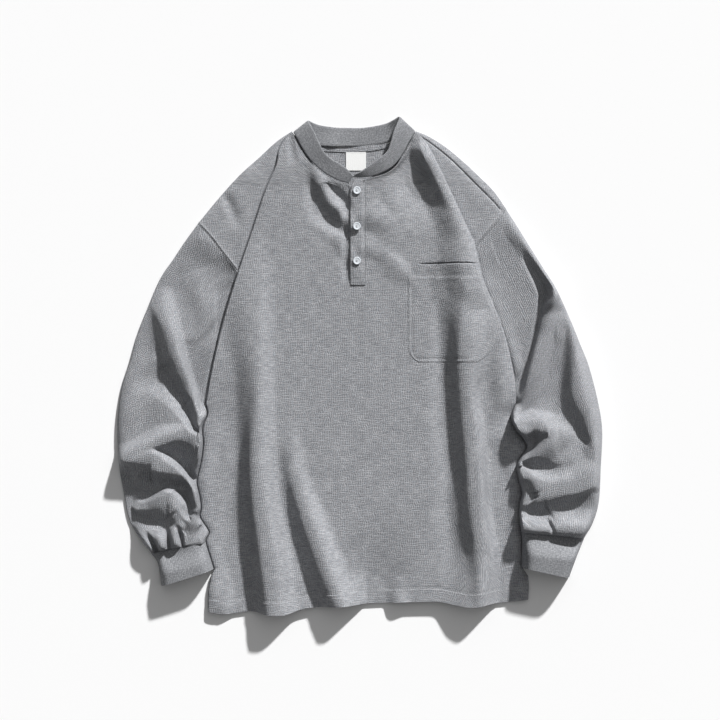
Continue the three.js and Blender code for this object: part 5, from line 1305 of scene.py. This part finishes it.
buttons = []
button_tops = []
for number in range(1, BUTTON_COUNT + 1):
    low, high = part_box("button_%d" % number)
    centre = ((low.x + high.x) / 2 / MM, (low.y + high.y) / 2 / MM, low.z / MM)
    disc = to_object("button_disc_%d" % number, lathe(BUTTON_PROFILE, BUTTON_SIDES, centre))
    cutters = bmesh.new()
    for k in range(4):
        angle = math.pi / 4 + k * math.pi / 2
        rod = lathe([(0, -2), (HOLE_RADIUS, -2), (HOLE_RADIUS, 6), (0, 6)], 14,
                    (centre[0] + HOLE_RING * math.cos(angle), centre[1] + HOLE_RING * math.sin(angle), centre[2]))
        spare = bpy.data.meshes.new("spare")
        rod.to_mesh(spare)
        rod.free()
        cutters.from_mesh(spare)
        bpy.data.meshes.remove(spare)
    cutter = to_object("hole_cutter", cutters)
    cut = disc.modifiers.new("holes", "BOOLEAN")
    cut.operation = "DIFFERENCE"
    cut.object = cutter
    settled(disc)
    bpy.data.objects.remove(cutter)
    local = disc.data.uv_layers.new(name="flat_cloth")
    for loop in disc.data.loops:
        spot = disc.data.vertices[loop.vertex_index].co / MM
        local.data[loop.index].uv = ((spot.x - centre[0]) / 100, (spot.y - centre[1]) / 100)
    disc.data.polygons.foreach_set("use_smooth", [True] * len(disc.data.polygons))
    disc.data.set_sharp_from_angle(angle=math.radians(35))
    buttons.append(disc)
    button_tops.append(centre)
print("buttons", [round(c[2], 2) for c in button_tops])

# %% [markdown]
# Thread shows as single stitches, a little uneven, so one node tree lays short fat threads along any line:
# it measures the line into stitch lengths, puts a stitch at each mark and turns it along the line.
# The lines are drawn in plan and dropped onto the cloth that they are sewn through.

# %% Stitch maker
def stitch_tree():
    tree = bpy.data.node_groups.new("stitch_run", "GeometryNodeTree")
    tree.interface.new_socket("Geometry", in_out="INPUT", socket_type="NodeSocketGeometry")
    for label, value in (("Pitch", 0.003), ("Length", 0.002), ("Thickness", 0.0005), ("Unevenness", 0.2)):
        tree.interface.new_socket(label, in_out="INPUT", socket_type="NodeSocketFloat").default_value = value
    tree.interface.new_socket("Thread", in_out="INPUT", socket_type="NodeSocketMaterial")
    tree.interface.new_socket("Geometry", in_out="OUTPUT", socket_type="NodeSocketGeometry")
    add = tree.nodes.new
    start, end = add("NodeGroupInput"), add("NodeGroupOutput")
    curve, marks = add("GeometryNodeMeshToCurve"), add("GeometryNodeResampleCurve")
    marks.mode = "LENGTH"
    ball = add("GeometryNodeMeshIcoSphere")
    ball.inputs["Radius"].default_value = 0.5
    ball.inputs["Subdivisions"].default_value = 2
    tangent, turn = add("GeometryNodeInputTangent"), add("FunctionNodeAlignEulerToVector")
    turn.axis = "X"
    size, jitter, wobble = add("ShaderNodeCombineXYZ"), add("FunctionNodeRandomValue"), add("ShaderNodeMath")
    jitter.inputs["Seed"].default_value = 7
    jitter.inputs[2].default_value = -1.0
    jitter.inputs[3].default_value = 1.0
    wobble.operation = "MULTIPLY_ADD"
    wobble.inputs[2].default_value = 1.0
    scaled_size = add("ShaderNodeVectorMath")
    scaled_size.operation = "SCALE"
    place, real, paint = add("GeometryNodeInstanceOnPoints"), add("GeometryNodeRealizeInstances"), add("GeometryNodeSetMaterial")
    link = tree.links.new
    link(start.outputs["Geometry"], curve.inputs["Mesh"])
    link(curve.outputs["Curve"], marks.inputs["Curve"])
    link(start.outputs["Pitch"], marks.inputs["Length"])
    link(marks.outputs["Curve"], place.inputs["Points"])
    link(ball.outputs["Mesh"], place.inputs["Instance"])
    link(tangent.outputs["Tangent"], turn.inputs["Vector"])
    link(turn.outputs["Rotation"], place.inputs["Rotation"])
    link(start.outputs["Length"], size.inputs["X"])
    link(start.outputs["Thickness"], size.inputs["Y"])
    link(start.outputs["Thickness"], size.inputs["Z"])
    link(jitter.outputs[1], wobble.inputs[0])
    link(start.outputs["Unevenness"], wobble.inputs[1])
    link(size.outputs[0], scaled_size.inputs[0])
    link(wobble.outputs[0], scaled_size.inputs["Scale"])
    link(scaled_size.outputs[0], place.inputs["Scale"])
    link(place.outputs["Instances"], real.inputs["Geometry"])
    link(real.outputs["Geometry"], paint.inputs["Geometry"])
    link(start.outputs["Thread"], paint.inputs["Material"])
    link(paint.outputs["Geometry"], end.inputs["Geometry"])
    return tree


STITCH_TREE = stitch_tree()
surfaces = {}


def dropped(piece, plan, lift):
    """Heights of a plan line on top of a piece, found by looking straight down."""
    if piece.name not in surfaces:
        data = piece.data
        surfaces[piece.name] = BVHTree.FromPolygons([v.co for v in data.vertices], [p.vertices for p in data.polygons])
    out = []
    for x, y in plan:
        hit = surfaces[piece.name].ray_cast(Vector(((x - MIDDLE[0]) * MM, (y - MIDDLE[1]) * MM, 0.2)), Vector((0, 0, -1)))
        if hit[0] is not None:
            out.append((hit[0].x, hit[0].y, hit[0].z + lift * MM))
    return out


def stitch_lines(name, runs, thread, pitch, length, thickness, unevenness=0.15):
    """runs is a list of (piece, rows of plan points, lift)."""
    points, edges = [], []
    for piece, rows, lift in runs:
        line = smooth_rows(rows, 12) if len(rows) > 2 else np.linspace(rows[0], rows[1], 60)
        start = len(points)
        points += dropped(piece, line, lift)
        edges += [(k, k + 1) for k in range(start, len(points) - 1)]
    mesh = bpy.data.meshes.new(name)
    mesh.from_pydata(points, edges, [])
    piece = bpy.data.objects.new(name, mesh)
    bpy.context.scene.collection.objects.link(piece)
    maker = piece.modifiers.new("stitches", "NODES")
    maker.node_group = STITCH_TREE
    values = {"Pitch": pitch * MM, "Length": length * MM, "Thickness": thickness * MM, "Unevenness": unevenness, "Thread": thread}
    for item in STITCH_TREE.interface.items_tree:
        if item.in_out == "INPUT" and item.name in values:
            maker[item.identifier] = values[item.name]
    settled(piece)
    print(name, "stitch faces", len(piece.data.polygons))
    return piece


def thread_material(name, colour, roughness):
    material, tree, shader = new_material(name, roughness)
    node = tree.nodes.new("ShaderNodeTexCoord")
    grain = noise(tree, node.outputs["Object"], 900, 2.0)
    shades = colour_ramp(tree, grain, [(0.3, tuple(c * 0.8 for c in colour)), (0.7, tuple(min(c * 1.15, 1) for c in colour))])
    tree.links.new(shades, shader.inputs["Base Color"])
    bump(tree, shader, grain, 0.0001)
    return material


grey_thread = thread_material("sewing_thread", (0.33, 0.335, 0.345), 0.8)
white_thread = thread_material("button_thread", (0.72, 0.73, 0.74), 0.6)

# %% [markdown]
# Where the thread runs: round the hem and the cuffs, along the shoulder and armhole seams, down the placket
# with its boxed end, and round the pocket with a double line under its mouth.

# %% Stitch lines
def offset_hem(up):
    return [(x, float(hem_y(x)) + up) for x in np.linspace(-221, 246, 60)]


def moved(rows, distance):
    return moved_aside(np.asarray(rows, float), distance)


body_lines = [
    (front_piece, offset_hem(20.6), 0.1), (front_piece, offset_hem(17.4), 0.1),
    (front_piece, moved(LEFT_ARMHOLE, -3.0), 0.1), (front_piece, moved(RIGHT_ARMHOLE, 3.0), 0.1),
    (front_piece, moved(SHOULDER_SEAM[:-1], 2.4), 0.1),
]
PLACKET_EDGE = 1.9
placket_lines = [
    (placket, [(PLACKET_RIGHT - PLACKET_EDGE, 277), (PLACKET_RIGHT - PLACKET_EDGE, PLACKET_BOTTOM + PLACKET_EDGE)], 0.1),
    (placket, [(PLACKET_LEFT + PLACKET_EDGE, 262), (PLACKET_LEFT + PLACKET_EDGE, PLACKET_BOTTOM + PLACKET_EDGE)], 0.1),
    (placket, [(PLACKET_LEFT + PLACKET_EDGE, PLACKET_BOTTOM + PLACKET_EDGE), (PLACKET_RIGHT - PLACKET_EDGE, PLACKET_BOTTOM + PLACKET_EDGE)], 0.1),
    (placket, [(PLACKET_LEFT + PLACKET_EDGE, PLACKET_BOTTOM + BOX_DEPTH), (PLACKET_RIGHT - PLACKET_EDGE, PLACKET_BOTTOM + BOX_DEPTH)], 0.1),
]


def pocket_edge_line(inset):
    low, side, turn = POCKET_BOTTOM + inset, POCKET_LEFT + inset, POCKET_CORNER - inset
    arc = [(side + turn - turn * math.cos(a), low + turn - turn * math.sin(a)) for a in np.linspace(0, math.pi / 2, 9)]
    right_side, bend = POCKET_RIGHT - inset, POCKET_RIGHT_CORNER - inset
    other = [(right_side - bend + bend * math.sin(a), low + bend - bend * math.cos(a)) for a in np.linspace(0, math.pi / 2, 9)]
    up = [(min(right_side, float(right_fold_x(y)) - POCKET_CLEAR - inset), y) for y in (70, 100, 125, 148)]
    return [(side, 148), (side, 100), (side, 60)] + arc + [(110, low), (140, low)] + other + up


hem_left, hem_right = POCKET_LEFT + 2.5, float(right_fold_x(130.0)) - POCKET_CLEAR - 2.5
pocket_lines = [
    (pocket, pocket_edge_line(POCKET_EDGE + 0.6), 0.05),
    (pocket, [(hem_left, POCKET_BAND + 0.8), (hem_right, POCKET_BAND + 0.8)], 0.05),
    (pocket, [(hem_left, POCKET_BAND - 3.5), (hem_right, POCKET_BAND - 3.5)], 0.05),
]


def cuff_line(side, up):
    top_left, top_right = np.array(side["cuff_outer"][0], float), np.array(side["cuff_inner"][0], float)
    share = np.linspace(0.05, 0.95, 14)[:, None]
    return top_left + (top_right - top_left) * share + [0, up]


sleeve_lines = []
for side_name, (sleeve_piece, cuff_piece, *_) in sleeves.items():
    sleeve_lines.append((sleeve_piece, cuff_line(SIDES[side_name], 3.2), 0.1))
COLLAR_LINE = [(-97, 352.5), (-89.5, 337), (-81.5, 322), (-73, 307.5), (-61.5, 295), (-47, 283.8), (-31, 275.5), (-19.5, 271)]
RIGHT_COLLAR_LINE = [(12, 279), (32, 284.5), (48, 292.6), (61, 306.5), (70.5, 321.5), (77.5, 336)]
collar_lines = [(front_piece, COLLAR_LINE, 0.1), (front_piece, RIGHT_COLLAR_LINE, 0.1)]
BACK_STITCH = [(-56, 333.5), (-30, 331.6), (0, 332), (24, 334.6), (42, 339)]
band_lines = [(collar_piece, BACK_STITCH, 0.1)]

stitching = [
    stitch_lines("stitching_body", body_lines, grey_thread, 3.2, 2.5, 0.75),
    stitch_lines("stitching_placket", placket_lines, grey_thread, 2.8, 2.2, 0.6),
    stitch_lines("stitching_pocket", pocket_lines, grey_thread, 2.9, 2.2, 0.6),
    stitch_lines("stitching_sleeves", sleeve_lines, grey_thread, 3.2, 2.5, 0.75),
    stitch_lines("stitching_collar", collar_lines + band_lines, grey_thread, 3.0, 2.4, 0.75),
]
label_lines = [(label_piece, [(LABEL[0] + 1.5, LABEL[3] - 1.6), (LABEL[1] - 1.5, LABEL[3] - 1.6)], 0.05)]
stitching.append(stitch_lines("stitching_label", label_lines, white_thread, 2.2, 1.7, 0.35))

# %% [markdown]
# The thread of each button runs through its four holes, as two short bars on top.

# %% Button thread
THREAD_RADIUS = 0.42
thread_mesh = bmesh.new()
for centre in button_tops:
    for row in (-1, 1):
        reach = HOLE_RING * math.sin(math.pi / 4)
        spine = [(-reach, 1.2), (-reach, 2.05), (-reach * 0.6, 2.4), (0, 2.5), (reach * 0.6, 2.4), (reach, 2.05), (reach, 1.2)]
        rings = []
        for k, (across, up) in enumerate(spine):
            before, after = spine[max(k - 1, 0)], spine[min(k + 1, len(spine) - 1)]
            direction = np.array([after[0] - before[0], after[1] - before[1]])
            direction /= np.hypot(*direction)
            ring = []
            for a in np.linspace(0, 2 * math.pi, 8, endpoint=False):
                out, side_way = THREAD_RADIUS * math.cos(a), THREAD_RADIUS * math.sin(a)
                ring.append(thread_mesh.verts.new((centre[0] + across - direction[1] * out, centre[1] + row * reach + side_way,
                                                   centre[2] + up + direction[0] * out)))
            rings.append(ring)
        for one, two in zip(rings[:-1], rings[1:]):
            for k in range(8):
                thread_mesh.faces.new((one[k], one[(k + 1) % 8], two[(k + 1) % 8], two[k]))
        thread_mesh.faces.new(rings[0][::-1])
        thread_mesh.faces.new(rings[-1])
bmesh.ops.recalc_face_normals(thread_mesh, faces=thread_mesh.faces)
button_threads = to_object("button_threads", thread_mesh)
button_threads.data.materials.append(white_thread)
button_threads.data.polygons.foreach_set("use_smooth", [True] * len(button_threads.data.polygons))

button_paint, tree, shader = new_material("button_plastic", 0.28)
local = cloth_coordinates(tree)
rings_node = tree.nodes.new("ShaderNodeTexWave")
rings_node.wave_type = "RINGS"
rings_node.rings_direction = "Z"
rings_node.inputs["Scale"].default_value = 28
tree.links.new(local, rings_node.inputs["Vector"])
streaks = noise(tree, scaled(tree, local, 30, 8), 1, 3.0)
tone = colour_ramp(tree, streaks, [(0.25, (0.55, 0.59, 0.64)), (0.75, (0.74, 0.77, 0.80))])
tree.links.new(tone, shader.inputs["Base Color"])
tree.links.new(spread(tree, streaks, -0.6, 2.6), shader.inputs["Roughness"])
shader.inputs["Coat Weight"].default_value = 0.3
bump(tree, shader, rings_node.outputs["Fac"], 0.00006)
for disc in buttons:
    disc.data.materials.clear()
    disc.data.materials.append(button_paint)

# %% [markdown]
# Last, every piece is tied to the part it dresses, and that part's imported solid is hidden.

# %% Hand over
DRESSED = {
    "front": (front_piece, "knit"), "back": (back_piece, "knit"),
    "sleeve_left": (sleeves["left"][0], "knit"), "sleeve_right": (sleeves["right"][0], "knit"),
    "cuff_left": (sleeves["left"][1], "rib"), "cuff_right": (sleeves["right"][1], "rib"),
    "collar": (collar_piece, "rib"), "placket_under": (under_strip, "knit"), "placket_upper": (placket, "knit"),
    "pocket": (pocket, "knit"), "neck_label": (label_piece, "label"), "neck_tape": (tape_piece, "knit"),
}
for node, (piece, slot) in DRESSED.items():
    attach(piece, "root")
    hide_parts(node)
for number, disc in enumerate(buttons, 1):
    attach(disc, "root")
    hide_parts("button_%d" % number)
for piece, slot in zip(stitching + [button_threads], ("knit", "knit", "knit", "knit", "rib", "label", "button")):
    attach(piece, "root")
